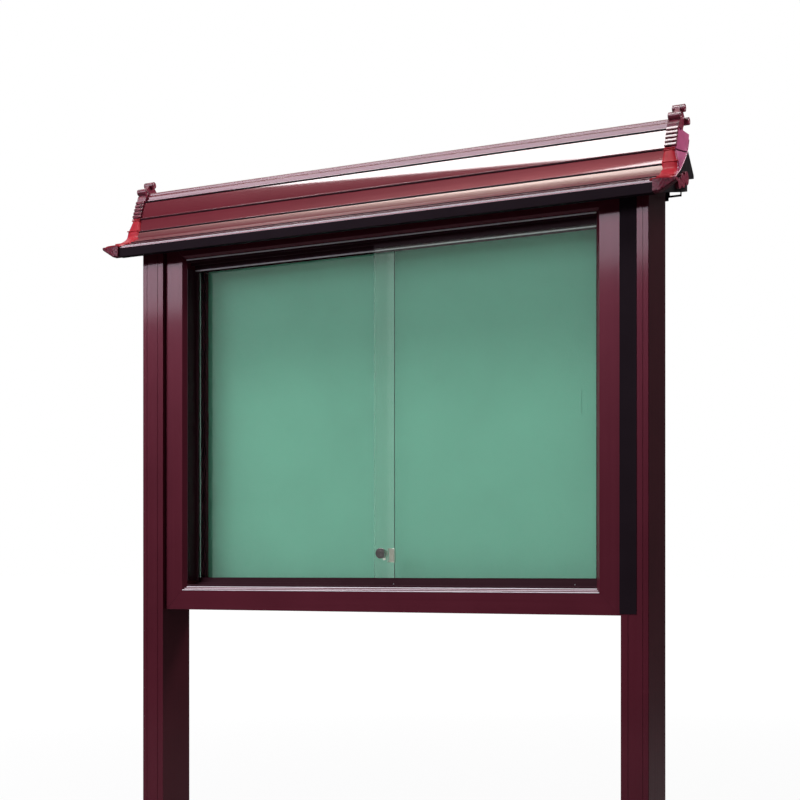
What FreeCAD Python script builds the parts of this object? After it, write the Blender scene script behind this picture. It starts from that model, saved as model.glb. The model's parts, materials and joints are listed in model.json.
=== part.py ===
import FreeCAD, Part
import math
import os
from types import SimpleNamespace

import Sketcher

# Roofed outdoor notice board on two posts, with two sliding glass doors and a lock.
# Millimetres. X runs along the board, Y from the front to the back, Z up from the ground.
# The origin is on the ground under the middle of the roof's footprint.

DIMENSIONS = [
    ("post_width", 70.0),
    ("post_depth", 126.0),
    ("post_wall", 2.5),
    ("post_gap", 4.5),
    ("post_front_y", -69.0),
    ("post_groove", 1.2),
    ("post_groove_outer", 14.0),
    ("post_groove_inner", 51.0),
    ("closing_strip_width", 43.0),
    ("closing_strip_thick", 1.2),
    ("closing_strip_lap", 3.0),
    ("closing_strip_foot", 4.0),
    ("closing_strip_top", 40.0),
    ("foot_plate_thick", 12.0),
    ("foot_margin_x", 45.0),
    ("foot_margin_y", 50.0),
    ("foot_hole_inset", 22.0),
    ("foot_hole_radius", 9.0),
    ("frame_width", 1347.0),
    ("frame_height", 1043.0),
    ("frame_bottom_z", 850.0),
    ("frame_set_back", 11.0),
    ("frame_face", 54.0),
    ("frame_bevel", 10.0),
    ("frame_wall", 2.0),
    ("reveal_depth", 115.0),
    ("board_sheet", 2.0),
    ("backing_thick", 10.0),
    ("batten_thick", 8.5),
    ("batten_width", 40.0),
    ("back_sheet", 1.5),
    ("board_play", 0.5),
    ("track_front_in", 10.0),
    ("track_pitch", 39.0),
    ("track_lip", 2.0),
    ("sill_front_lip", 6.0),
    ("sill_middle_lip", 12.0),
    ("sill_rear_lip", 17.0),
    ("head_front_lip", 8.0),
    ("head_middle_lip", 24.0),
    ("head_rear_lip", 22.0),
    ("rail_width", 2.4),
    ("rail_rise", 3.0),
    ("guide_drop", 11.0),
    ("jamb_rib", 8.0),
    ("glass_thick", 5.0),
    ("door_overlap", 40.0),
    ("door_side_gap", 1.0),
    ("shoe_half", 6.0),
    ("shoe_wall", 1.5),
    ("shoe_lift", 1.5),
    ("shoe_bite", 8.0),
    ("roller_radius", 4.5),
    ("roller_flange", 1.0),
    ("roller_width", 6.0),
    ("roller_gap", 0.3),
    ("roller_pin_radius", 1.5),
    ("roller_play", 0.05),
    ("roller_groove_play", 0.4),
    ("roller_inset", 60.0),
    ("grip_length", 60.0),
    ("grip_width", 16.0),
    ("grip_depth", 1.5),
    ("grip_inset", 36.0),
    ("lock_height", 90.0),
    ("lock_radius", 10.5),
    ("lock_rim", 3.5),
    ("lock_rear_reach", 16.0),
    ("plug_radius", 6.0),
    ("plug_play", 0.05),
    ("cam_thick", 2.5),
    ("cam_reach", 18.0),
    ("cam_width", 9.0),
    ("keeper_wall", 1.5),
    ("keeper_play", 1.0),
    ("roof_axis_y", 23.0),
    ("ridge_half", 42.0),
    ("ridge_above_frame", 126.0),
    ("ridge_cap_rise", 26.0),
    ("ridge_cap_inset", 5.0),
    ("ridge_cap_step", 4.0),
    ("roof_overhang", 33.0),
    ("panel_thick", 3.0),
    ("panel_step", 3.0),
    ("slope_1_run", 19.0),
    ("slope_1_fall", 53.0),
    ("slope_2_run", 11.0),
    ("slope_2_fall", 39.0),
    ("slope_3_run", 8.0),
    ("slope_3_fall", 23.0),
    ("slope_4_run", 45.0),
    ("slope_4_fall", 27.0),
    ("eave_run", 33.0),
    ("eave_fall", 9.0),
    ("eave_edge", 5.0),
    ("fascia_height", 24.0),
    ("fascia_thick", 2.5),
    ("fascia_return", 20.0),
    ("rear_run", 76.0),
    ("rear_fall", 80.0),
    ("rear_edge", 8.0),
    ("rear_skirt", 50.0),
    ("skirt_end_rise", 8.0),
    ("skirt_end_lip", 5.0),
    ("verge_width", 24.0),
    ("verge_proud", 4.0),
    ("barge_thick", 12.0),
    ("rib_radius", 6.0),
    ("finial_roll_radius", 9.5),
    ("finial_roll_length", 30.0),
    ("finial_plate", 12.0),
    ("eave_cap_width", 33.0),
    ("eave_tip_width", 32.0),
    ("ornament_radius", 17.0),
    ("packer_height", 60.0),
    ("bolt_radius", 4.0),
    ("bolt_head_radius", 6.4),
    ("bolt_play", 0.2),
    ("screw_radius", 1.8),
    ("screw_head_radius", 4.5),
]

doc = FreeCAD.newDocument("notice_board")
sheet = doc.addObject("Spreadsheet::Sheet", "Sizes")


class Size:
    """A length held both as a number and as an expression over the sheet's cells."""

    def __init__(self, text, value):
        self.text = text
        self.value = float(value)

    def join(self, other, sign, value):
        return Size(f"({self.text} {sign} {lift(other).text})", value)

    def __add__(self, other):
        return self.join(other, "+", self.value + lift(other).value)

    def __sub__(self, other):
        return self.join(other, "-", self.value - lift(other).value)

    def __mul__(self, other):
        return self.join(other, "*", self.value * lift(other).value)

    def __truediv__(self, other):
        return self.join(other, "/", self.value / lift(other).value)

    def __neg__(self):
        return Size(f"(0 - {self.text})", -self.value)

    def __radd__(self, other):
        return lift(other) + self

    def __rsub__(self, other):
        return lift(other) - self

    def __rmul__(self, other):
        return lift(other) * self


def lift(number):
    """Turns a plain number into a Size."""
    if isinstance(number, Size):
        return number
    return Size(f"{float(number):.6f}", number)


def fill_sheet():
    """Writes the driving dimensions to the sheet and returns them by name."""
    sizes = {}
    for row, (alias, value) in enumerate(DIMENSIONS, start=1):
        sheet.set(f"A{row}", alias)
        sheet.set(f"B{row}", str(value))
        sheet.setAlias(f"B{row}", alias)
        sizes[alias] = Size(f"Sizes.{alias}", value)
    return SimpleNamespace(**sizes)


def vector(point):
    return FreeCAD.Vector(lift(point[0]).value, lift(point[1]).value, 0)


def plane_of(body, role):
    """One of a body's own origin planes."""
    return [item for item in body.Origin.OriginFeatures if item.Role == role][0]


def tie_point(sketch, geometry, position, point):
    """Holds a sketch point at a place worked out from the sheet."""
    for kind, size in (("DistanceX", point[0]), ("DistanceY", point[1])):
        size = lift(size)
        index = sketch.addConstraint(
            Sketcher.Constraint(kind, -1, 1, geometry, position, size.value)
        )
        sketch.setExpression(f"Constraints[{index}]", size.text)


def add_loop(sketch, points):
    """Draws a closed outline of straight edges."""
    first = sketch.GeometryCount
    count = len(points)
    for index, point in enumerate(points):
        following = points[(index + 1) % count]
        sketch.addGeometry(Part.LineSegment(vector(point), vector(following)), False)
    for index, point in enumerate(points):
        following = first + (index + 1) % count
        sketch.addConstraint(Sketcher.Constraint("Coincident", first + index, 2, following, 1))
        tie_point(sketch, first + index, 1, point)


def add_circle(sketch, centre, radius):
    radius = lift(radius)
    circle = Part.Circle(vector(centre), FreeCAD.Vector(0, 0, 1), radius.value)
    geometry = sketch.addGeometry(circle, False)
    tie_point(sketch, geometry, 3, centre)
    index = sketch.addConstraint(Sketcher.Constraint("Radius", geometry, radius.value))
    sketch.setExpression(f"Constraints[{index}]", radius.text)


def add_sketch(body, name, role, offset, loops, circles):
    """A sketch on one of the body's planes, moved along the plane's normal."""
    sketch = body.newObject("Sketcher::SketchObject", name)
    sketch.AttachmentSupport = (plane_of(body, role), [""])
    sketch.MapMode = "FlatFace"
    offset = lift(offset)
    sketch.AttachmentOffset = FreeCAD.Placement(
        FreeCAD.Vector(0, 0, offset.value), FreeCAD.Rotation()
    )
    sketch.setExpression("AttachmentOffset.Base.z", offset.text)
    for loop in loops:
        add_loop(sketch, loop)
    for centre, radius in circles:
        add_circle(sketch, centre, radius)
    return sketch


# The sketch plane for each direction of extrusion, and the sign of its normal.
PLANES = {"x": ("YZ_Plane", 1), "y": ("XZ_Plane", -1), "z": ("XY_Plane", 1)}


def add_pad(body, name, axis, start, end, loops, circles=()):
    """Extrudes an outline along an axis, from one coordinate to another."""
    role, sign = PLANES[axis]
    offset = lift(start) if sign > 0 else -lift(end)
    sketch = add_sketch(body, name + "_outline", role, offset, loops, circles)
    pad = body.newObject("PartDesign::Pad", name + "_pad")
    pad.Profile = sketch
    length = lift(end) - lift(start)
    pad.Length = length.value
    pad.setExpression("Length", length.text)
    return pad


def add_pocket(body, name, axis, start, end, loops=(), circles=()):
    """Cuts an outline out of a body, from one coordinate to another."""
    role, sign = PLANES[axis]
    offset = lift(end) if sign > 0 else -lift(start)
    sketch = add_sketch(body, name + "_cut", role, offset, loops, circles)
    pocket = body.newObject("PartDesign::Pocket", name + "_pocket")
    pocket.Profile = sketch
    length = lift(end) - lift(start)
    pocket.Length = length.value
    pocket.setExpression("Length", length.text)
    return pocket


PARTS = []


def keep(obj, label):
    """Names an object and lists it as one sub-part."""
    obj.Label = label
    PARTS.append(obj)
    return obj


def extrusion(label, axis, start, end, loops, circles=()):
    """A sub-part that is one outline extruded along an axis."""
    body = doc.addObject("PartDesign::Body", label)
    add_pad(body, label, axis, start, end, loops, circles)
    return keep(body, label)


def rectangle(left, bottom, right, top):
    return [(left, bottom), (right, bottom), (right, top), (left, top)]


def tie(obj, **sizes):
    """Sets sizes on an object and ties them to the sheet."""
    for name, size in sizes.items():
        size = lift(size)
        setattr(obj, name, size.value)
        obj.setExpression(name, size.text)


def place(obj, x, y, z, rotation=None):
    """Places an object at a point worked out from the sheet."""
    x, y, z = lift(x), lift(y), lift(z)
    base = FreeCAD.Vector(x.value, y.value, z.value)
    obj.Placement = FreeCAD.Placement(base, rotation or FreeCAD.Rotation())
    for name, size in (("x", x), ("y", y), ("z", z)):
        obj.setExpression(f"Placement.Base.{name}", size.text)


# A cylinder grows along Z, so these turn it to grow along +X or +Y.
TURNS = {
    "x": FreeCAD.Rotation(FreeCAD.Vector(0, 1, 0), 90),
    "y": FreeCAD.Rotation(FreeCAD.Vector(1, 0, 0), -90),
    "z": FreeCAD.Rotation(),
}


def cylinder(name, axis, radius, length, x, y, z):
    """A cylinder that grows from a point along +X, +Y or +Z."""
    obj = doc.addObject("Part::Cylinder", name)
    tie(obj, Radius=radius, Height=length)
    place(obj, x, y, z, TURNS[axis])
    return obj


def block(name, low, high):
    """A box between two corners."""
    obj = doc.addObject("Part::Box", name)
    spans = [lift(high[axis]) - lift(low[axis]) for axis in range(3)]
    tie(obj, Length=spans[0], Width=spans[1], Height=spans[2])
    place(obj, *low)
    return obj


def group(name, members):
    obj = doc.addObject("Part::Compound", name)
    obj.Links = members
    return obj


def fused(name, members):
    obj = doc.addObject("Part::MultiFuse", name)
    obj.Shapes = members
    return obj


def cut(name, base, tool):
    obj = doc.addObject("Part::Cut", name)
    obj.Base = base
    obj.Tool = tool
    return obj


D = fill_sheet()

# Lines that several pieces share.
frame_half = D.frame_width / 2
frame_top_z = D.frame_bottom_z + D.frame_height
frame_front_y = D.post_front_y + D.frame_set_back
member = D.frame_face + D.frame_bevel
board_y = frame_front_y + D.reveal_depth
backing_y = board_y + D.board_sheet
batten_y = backing_y + D.backing_thick
back_y = batten_y + D.batten_thick
frame_rear_y = back_y + D.back_sheet
opening_half = frame_half - member
opening_bottom_z = D.frame_bottom_z + member
opening_top_z = frame_top_z - member
post_inner_x = frame_half + D.post_gap
post_outer_x = post_inner_x + D.post_width
post_rear_y = D.post_front_y + D.post_depth
ridge_z = frame_top_z + D.ridge_above_frame
roof_half_length = post_outer_x + D.roof_overhang


def side_span(side, near, far):
    """A span of X on the left (-1) or right (+1), given as distances from the middle."""
    if side > 0:
        return lift(near), lift(far)
    return -lift(far), -lift(near)


def make_posts():
    """Two rectangular aluminium tubes with two fine grooves down each front face."""
    for side, name in ((-1, "left"), (1, "right")):
        label = f"post_{name}"
        groove = D.post_groove
        outer = [
            (side * post_inner_x, D.post_front_y),
            (side * (post_outer_x - D.post_groove_inner - groove), D.post_front_y),
            (side * (post_outer_x - D.post_groove_inner - groove), D.post_front_y + groove),
            (side * (post_outer_x - D.post_groove_inner), D.post_front_y + groove),
            (side * (post_outer_x - D.post_groove_inner), D.post_front_y),
            (side * (post_outer_x - D.post_groove_outer - groove), D.post_front_y),
            (side * (post_outer_x - D.post_groove_outer - groove), D.post_front_y + groove),
            (side * (post_outer_x - D.post_groove_outer), D.post_front_y + groove),
            (side * (post_outer_x - D.post_groove_outer), D.post_front_y),
            (side * (post_outer_x - groove), D.post_front_y),
            (side * post_outer_x, D.post_front_y + groove),
            (side * post_outer_x, post_rear_y - groove),
            (side * (post_outer_x - groove), post_rear_y),
            (side * post_inner_x, post_rear_y),
        ]
        wall = D.post_wall
        inner = rectangle(
            side * (post_inner_x + wall),
            D.post_front_y + wall,
            side * (post_outer_x - wall),
            post_rear_y - wall,
        )
        body = doc.addObject("PartDesign::Body", label + "_tube")
        add_pad(body, label, "z", D.foot_plate_thick, frame_top_z, [outer, inner])
        keep(cut(label, body, bolt_holes(side, label)), label)


def make_closing_strip():
    """Thin dark strip on the right post that laps over the joint between it and the frame."""
    name = "closing_strip_right"
    near = post_inner_x - D.closing_strip_lap
    front = D.post_front_y - D.closing_strip_thick
    low = (near, front, D.frame_bottom_z + D.closing_strip_foot)
    high = (near + D.closing_strip_width, D.post_front_y, frame_top_z - D.closing_strip_top)
    keep(block(name, low, high), name)


def bolt_heights():
    """Heights of the bolts that hold the frame between the posts."""
    step = (D.frame_height - member * 2 - D.packer_height) / 2
    first = D.frame_bottom_z + member + D.packer_height / 2
    return [first + step * index for index in range(3)]


bolt_y = D.post_front_y + D.post_depth / 2


def bolt_holes(side, name):
    """Clearance holes through the post's inner wall, the packer and the frame's outer wall."""
    near, far = side_span(side, frame_half - D.frame_wall * 2, post_inner_x + D.post_wall * 2)
    radius = D.bolt_radius + D.bolt_play
    tools = []
    for index, height in enumerate(bolt_heights()):
        hole = cylinder(f"{name}_hole_{index}", "x", radius, far - near, near, bolt_y, height)
        tools.append(hole)
    return group(f"{name}_holes", tools)


def make_feet():
    """Foot plates under the posts, each with four anchor holes."""
    for side, name in ((-1, "left"), (1, "right")):
        x_low, x_high = side_span(side, post_inner_x - D.foot_margin_x, post_outer_x + D.foot_margin_x)
        y_low = D.post_front_y - D.foot_margin_y
        y_high = post_rear_y + D.foot_margin_y
        inset = D.foot_hole_inset
        holes = []
        for x in (x_low + inset, x_high - inset):
            for y in (y_low + inset, y_high - inset):
                holes.append(((x, y), D.foot_hole_radius))
        outline = rectangle(x_low, y_low, x_high, y_high)
        extrusion(f"foot_plate_{name}", "z", 0, D.foot_plate_thick, [outline], holes)


def member_section(across, along):
    """Hollow section of a frame member with a rebate behind it.

    across(n) gives the sketch coordinate n inward from the frame's edge and along(d) the one
    d behind its front; the result is the outer and the inner loop.
    """
    wall = D.frame_wall
    inset = wall * (math.sqrt(2) - 1)
    bevel = D.frame_bevel
    reveal = D.reveal_depth
    rear = frame_rear_y - frame_front_y
    outer = [
        (across(0), along(0)),
        (across(D.frame_face), along(0)),
        (across(member), along(bevel)),
        (across(member), along(reveal)),
        (across(wall), along(reveal)),
        (across(wall), along(rear)),
        (across(0), along(rear)),
    ]
    inner = [
        (across(wall), along(wall)),
        (across(D.frame_face - inset), along(wall)),
        (across(member - wall), along(bevel + inset)),
        (across(member - wall), along(reveal - wall)),
        (across(wall), along(reveal - wall)),
    ]
    return outer, inner


def swap(loops):
    """Exchanges the two sketch coordinates of every point."""
    return [[(second, first) for first, second in loop] for loop in loops]


def mitre_corner(side, low):
    """Front view of what a mitre takes off a horizontal member at one of its ends."""
    past = D.frame_wall * 2
    edge = D.frame_bottom_z if low else frame_top_z
    way = 1 if low else -1
    return [
        (side * (frame_half + past), edge - past * way),
        (side * (frame_half - member - past), edge + (member + past) * way),
        (side * (frame_half + past), edge + (member + past) * way),
    ]


def mitre_end(side, low):
    """Front view of what a mitre takes off an upright member at one of its ends."""
    past = D.frame_wall * 2
    edge = D.frame_bottom_z if low else frame_top_z
    way = 1 if low else -1
    return [
        (side * (frame_half + past), edge - past * way),
        (side * (frame_half - member - past), edge + (member + past) * way),
        (side * (frame_half - member - past), edge - past * way),
    ]


def make_frame():
    """Four mitred members: the sill, the head and two stiles."""
    front, rear = frame_front_y - 1, frame_rear_y + 1
    for label, low in (("frame_sill", True), ("frame_head", False)):
        if low:
            section = member_section(lambda n: D.frame_bottom_z + n, lambda d: frame_front_y + d)
        else:
            section = member_section(lambda n: frame_top_z - n, lambda d: frame_front_y + d)
        body = doc.addObject("PartDesign::Body", label)
        add_pad(body, label, "x", -frame_half, frame_half, swap(section))
        corners = [mitre_corner(-1, low), mitre_corner(1, low)]
        add_pocket(body, label + "_mitre", "y", front, rear, corners)
        keep(body, label)
    for side, name in ((-1, "left"), (1, "right")):
        label = f"frame_stile_{name}"
        section = member_section(lambda n: side * (frame_half - n), lambda d: frame_front_y + d)
        body = doc.addObject("PartDesign::Body", label + "_section")
        add_pad(body, label, "z", D.frame_bottom_z, frame_top_z, section)
        ends = [mitre_end(side, True), mitre_end(side, False)]
        add_pocket(body, label + "_mitre", "y", front, rear, ends)
        keep(cut(label, body, bolt_holes(side, label)), label)


def make_corner_keys():
    """Flat L-shaped keys that fill the hollow of the section across each mitre."""
    wall = D.frame_wall
    inner = member - wall
    arm = member * 2
    y_low = board_y - D.reveal_depth / 4
    keys = []
    for side in (-1, 1):
        for low in (True, False):
            edge, way = (D.frame_bottom_z, 1) if low else (frame_top_z, -1)
            outline = [
                (side * (frame_half - wall), edge + wall * way),
                (side * (frame_half - arm), edge + wall * way),
                (side * (frame_half - arm), edge + inner * way),
                (side * (frame_half - inner), edge + inner * way),
                (side * (frame_half - inner), edge + arm * way),
                (side * (frame_half - wall), edge + arm * way),
            ]
            name = f"corner_key_{'left' if side < 0 else 'right'}_{'low' if low else 'high'}"
            body = doc.addObject("PartDesign::Body", name)
            add_pad(body, name, "y", y_low, y_low + wall * 2, [outline])
            keys.append(body)
    keep(group("corner_keys", keys), "corner_keys")


def make_fixings():
    """Packers and bolts between the frame and the posts."""
    packers = []
    bolts = []
    half = D.packer_height / 2
    nut = D.bolt_head_radius
    for side, name in ((-1, "left"), (1, "right")):
        low_x, high_x = side_span(side, frame_half, post_inner_x)
        for index, height in enumerate(bolt_heights()):
            tag = f"{name}_{index}"
            low = (low_x, bolt_y - half / 2, height - half)
            high = (high_x, bolt_y + half / 2, height + half)
            hole = cylinder(
                f"packer_hole_{tag}", "x", D.bolt_radius + D.bolt_play,
                high_x - low_x, low_x, bolt_y, height,
            )
            packers.append(cut(f"packer_{tag}", block(f"packer_block_{tag}", low, high), hole))
            nut_x = side_span(side, frame_half - D.frame_wall - nut, frame_half - D.frame_wall)
            head_x = side_span(side, post_inner_x + D.post_wall, post_inner_x + D.post_wall + nut)
            shank_low = side_span(side, frame_half - D.frame_wall - nut * 2, post_inner_x + D.post_wall)
            bolt = [
                cylinder(f"nut_{tag}", "x", nut, nut_x[1] - nut_x[0], nut_x[0], bolt_y, height),
                cylinder(f"head_{tag}", "x", nut, head_x[1] - head_x[0], head_x[0], bolt_y, height),
                cylinder(
                    f"shank_{tag}", "x", D.bolt_radius, shank_low[1] - shank_low[0],
                    shank_low[0], bolt_y, height,
                ),
            ]
            bolts.append(fused(f"bolt_{tag}", bolt))
    keep(group("frame_packers", packers), "frame_packers")
    keep(group("frame_bolts", bolts), "frame_bolts")


# Places of the back sheet's screws, as shares of half its width.
SCREW_STATIONS = (-0.9, -0.3, 0.3, 0.9)


def make_board():
    """Green board sheet, its backing, the battens and the back sheet with its screws."""
    half = frame_half - D.frame_wall - D.board_play
    low_z = D.frame_bottom_z + D.frame_wall + D.board_play
    high_z = frame_top_z - D.frame_wall - D.board_play
    outline = rectangle(-half, low_z, half, high_z)
    extrusion("display_board", "y", board_y, backing_y, [outline])
    extrusion("backing_board", "y", backing_y, batten_y, [outline])
    heights = [low_z + D.batten_width, (low_z + high_z) / 2, high_z - D.batten_width]
    stations = [half * share for share in SCREW_STATIONS]
    battens = []
    screws = []
    sheet_holes = []
    for row, height in enumerate(heights):
        low = (-half, batten_y, height - D.batten_width / 2)
        high = (half, back_y, height + D.batten_width / 2)
        holes = []
        for column, x in enumerate(stations):
            tag = f"{row}_{column}"
            sheet_holes.append(((x, height), D.screw_radius + D.bolt_play))
            holes.append(cylinder(
                f"batten_hole_{tag}", "y", D.screw_radius + D.bolt_play,
                D.batten_thick, x, batten_y, height,
            ))
            shank = cylinder(
                f"screw_shank_{tag}", "y", D.screw_radius,
                D.batten_thick / 2 + D.back_sheet, x, back_y - D.batten_thick / 2, height,
            )
            head = cylinder(
                f"screw_head_{tag}", "y", D.screw_head_radius, D.screw_radius,
                x, frame_rear_y, height,
            )
            screws.append(fused(f"screw_{tag}", [shank, head]))
        bar = block(f"batten_bar_{row}", low, high)
        battens.append(cut(f"batten_{row}", bar, group(f"batten_holes_{row}", holes)))
    keep(group("back_battens", battens), "back_battens")
    extrusion("back_panel", "y", back_y, frame_rear_y, [outline], sheet_holes)
    keep(group("back_screws", screws), "back_screws")


lip_front_y = frame_front_y + D.track_front_in
lip_ys = [lip_front_y + D.track_pitch * index for index in range(3)]
door_ys = [(lip_ys[index] + D.track_lip + lip_ys[index + 1]) / 2 for index in range(2)]
track_base = D.track_lip


def make_tracks():
    """Lower track with two rails and upper track with two guide ribs, each with three lips."""
    base_z = opening_bottom_z + track_base
    lips = (D.sill_front_lip, D.sill_middle_lip, D.sill_rear_lip)
    outline = [(lip_ys[0], opening_bottom_z)]
    for index, (lip_y, rise) in enumerate(zip(lip_ys, lips)):
        if index:
            outline.append((lip_y, base_z))
        outline.append((lip_y, opening_bottom_z + rise))
        outline.append((lip_y + D.track_lip, opening_bottom_z + rise))
        if index < 2:
            rail = door_ys[index]
            outline.append((lip_y + D.track_lip, base_z))
            outline.append((rail - D.rail_width / 2, base_z))
            outline.append((rail - D.rail_width / 2, base_z + D.rail_rise))
            outline.append((rail + D.rail_width / 2, base_z + D.rail_rise))
            outline.append((rail + D.rail_width / 2, base_z))
    outline.append((lip_ys[2] + D.track_lip, opening_bottom_z))
    extrusion("sill_track", "x", -opening_half, opening_half, [outline])

    base_z = opening_top_z - track_base
    lips = (D.head_front_lip, D.head_middle_lip, D.head_rear_lip)
    outline = [(lip_ys[0], opening_top_z)]
    for index, (lip_y, drop) in enumerate(zip(lip_ys, lips)):
        if index:
            outline.append((lip_y, base_z))
        outline.append((lip_y, opening_top_z - drop))
        outline.append((lip_y + D.track_lip, opening_top_z - drop))
        if index < 2:
            rib = door_ys[index]
            outline.append((lip_y + D.track_lip, base_z))
            outline.append((rib - D.rail_width / 2, base_z))
            outline.append((rib - D.rail_width / 2, base_z - D.guide_drop))
            outline.append((rib + D.rail_width / 2, base_z - D.guide_drop))
            outline.append((rib + D.rail_width / 2, base_z))
    outline.append((lip_ys[2] + D.track_lip, opening_top_z))
    extrusion("head_track", "x", -opening_half, opening_half, [outline])


def make_jambs():
    """Upright linings in the reveal, each with a rib between the doors and one behind them."""
    low_z = opening_bottom_z + D.sill_rear_lip
    high_z = opening_top_z - D.head_middle_lip
    for side, name in ((-1, "left"), (1, "right")):
        wall_x = side * opening_half
        face_x = side * (opening_half - D.track_lip)
        rib_x = side * (opening_half - D.track_lip - D.jamb_rib)
        rear = lip_ys[2] + D.track_lip
        outline = [
            (wall_x, lip_ys[0]),
            (face_x, lip_ys[0]),
            (face_x, lip_ys[1]),
            (rib_x, lip_ys[1]),
            (rib_x, lip_ys[1] + D.track_lip),
            (face_x, lip_ys[1] + D.track_lip),
            (face_x, lip_ys[2]),
            (rib_x, lip_ys[2]),
            (rib_x, rear),
            (wall_x, rear),
        ]
        extrusion(f"jamb_{name}", "z", low_z, high_z, [outline])


door_outer_x = opening_half - D.track_lip - D.door_side_gap
rail_top_z = opening_bottom_z + track_base + D.rail_rise
roller_z = rail_top_z + D.roller_gap + D.roller_radius
shoe_bottom_z = opening_bottom_z + track_base + D.shoe_lift
shoe_web_z = roller_z + D.roller_radius + D.roller_flange + D.shoe_wall / 2
glass_bottom_z = shoe_web_z + D.shoe_wall
guide_tip_z = opening_top_z - track_base - D.guide_drop
guide_clear = D.shoe_wall * 2
glass_top_z = guide_tip_z - guide_clear - D.shoe_wall
lock_z = opening_bottom_z + D.lock_height
glass_half = D.glass_thick / 2


def door_span(side):
    """X span of a door: the right door runs in front and the left door behind."""
    inner = -side * D.door_overlap / 2
    outer = side * door_outer_x
    return (inner, outer) if side > 0 else (outer, inner)


def make_glass():
    """Two panes with a ground finger grip each; the front pane has the lock's hole."""
    middle_z = (glass_bottom_z + glass_top_z) / 2
    for side, name, y in ((1, "right", door_ys[0]), (-1, "left", door_ys[1])):
        label = f"door_glass_{name}"
        low_x, high_x = door_span(side)
        outline = rectangle(low_x, glass_bottom_z, high_x, glass_top_z)
        holes = [((lift(0), lock_z), D.lock_radius + D.bolt_play)] if side > 0 else []
        body = doc.addObject("PartDesign::Body", label)
        add_pad(body, label, "y", y - glass_half, y + glass_half, [outline], holes)
        grip_x = side * (door_outer_x - D.grip_inset)
        grip = rectangle(
            grip_x - D.grip_width / 2, middle_z - D.grip_length / 2,
            grip_x + D.grip_width / 2, middle_z + D.grip_length / 2,
        )
        front = y - glass_half
        add_pocket(body, label + "_grip", "y", front, front + D.grip_depth, [grip])
        keep(body, label)


def roller_stations(side):
    low_x, high_x = door_span(side)
    return [low_x + D.roller_inset, high_x - D.roller_inset]


def make_shoes():
    """Channels along the panes' lower and upper edges, with the roller pins in the lower ones."""
    for side, name, y in ((1, "right", door_ys[0]), (-1, "left", door_ys[1])):
        low_x, high_x = door_span(side)
        half = D.shoe_half
        wall = D.shoe_wall
        grip = glass_half + wall
        shoe = [
            (y - half, shoe_bottom_z),
            (y - half, glass_bottom_z),
            (y - grip, glass_bottom_z),
            (y - grip, glass_bottom_z + D.shoe_bite),
            (y - glass_half, glass_bottom_z + D.shoe_bite),
            (y - glass_half, glass_bottom_z),
            (y + glass_half, glass_bottom_z),
            (y + glass_half, glass_bottom_z + D.shoe_bite),
            (y + grip, glass_bottom_z + D.shoe_bite),
            (y + grip, glass_bottom_z),
            (y + half, glass_bottom_z),
            (y + half, shoe_bottom_z),
            (y + half - wall, shoe_bottom_z),
            (y + half - wall, shoe_web_z),
            (y - half + wall, shoe_web_z),
            (y - half + wall, shoe_bottom_z),
        ]
        label = f"door_shoe_{name}"
        body = doc.addObject("PartDesign::Body", label)
        add_pad(body, label, "x", low_x, high_x, [shoe])
        circles = [((x, roller_z), D.roller_pin_radius + D.roller_play) for x in roller_stations(side)]
        add_pocket(body, label + "_pins", "y", y - half, y + half, (), circles)
        keep(body, label)
        pins = []
        for index, x in enumerate(roller_stations(side)):
            pin = cylinder(
                f"roller_pin_{name}_{index}", "y", D.roller_pin_radius, half * 2,
                x, y - half, roller_z,
            )
            pins.append(pin)
        keep(group(f"roller_pins_{name}", pins), f"roller_pins_{name}")
        top = glass_top_z + wall
        guide = [
            (y - grip, glass_top_z - D.shoe_bite / 2),
            (y - grip, top + D.guide_drop),
            (y - glass_half, top + D.guide_drop),
            (y - glass_half, top),
            (y + glass_half, top),
            (y + glass_half, top + D.guide_drop),
            (y + grip, top + D.guide_drop),
            (y + grip, glass_top_z - D.shoe_bite / 2),
            (y + glass_half, glass_top_z - D.shoe_bite / 2),
            (y + glass_half, glass_top_z),
            (y - glass_half, glass_top_z),
            (y - glass_half, glass_top_z - D.shoe_bite / 2),
        ]
        extrusion(f"door_guide_{name}", "x", low_x, high_x, [guide])


def make_rollers():
    """Grooved rollers that straddle the rails, two to a door."""
    groove = D.rail_width + D.roller_groove_play * 2
    flange = (D.roller_width - groove) / 2
    for side, name, y in ((1, "right", door_ys[0]), (-1, "left", door_ys[1])):
        for index, x in enumerate(roller_stations(side)):
            label = f"roller_{name}_{index + 1}"
            front = y - D.roller_width / 2
            rim = D.roller_radius + D.roller_flange
            pieces = [
                cylinder(label + "_tread", "y", D.roller_radius, D.roller_width, x, front, roller_z),
                cylinder(label + "_front", "y", rim, flange, x, front, roller_z),
                cylinder(
                    label + "_rear", "y", rim, flange,
                    x, y + D.roller_width / 2 - flange, roller_z,
                ),
            ]
            bore = cylinder(
                label + "_bore", "y", D.roller_pin_radius + D.roller_play,
                D.roller_width, x, front, roller_z,
            )
            keep(cut(label, fused(label + "_solid", pieces), bore), label)


lock_front_y = door_ys[0] - glass_half - D.lock_rim
lock_rear_y = door_ys[0] + glass_half + D.lock_rear_reach
cam_y = lock_rear_y + D.roller_gap


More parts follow.
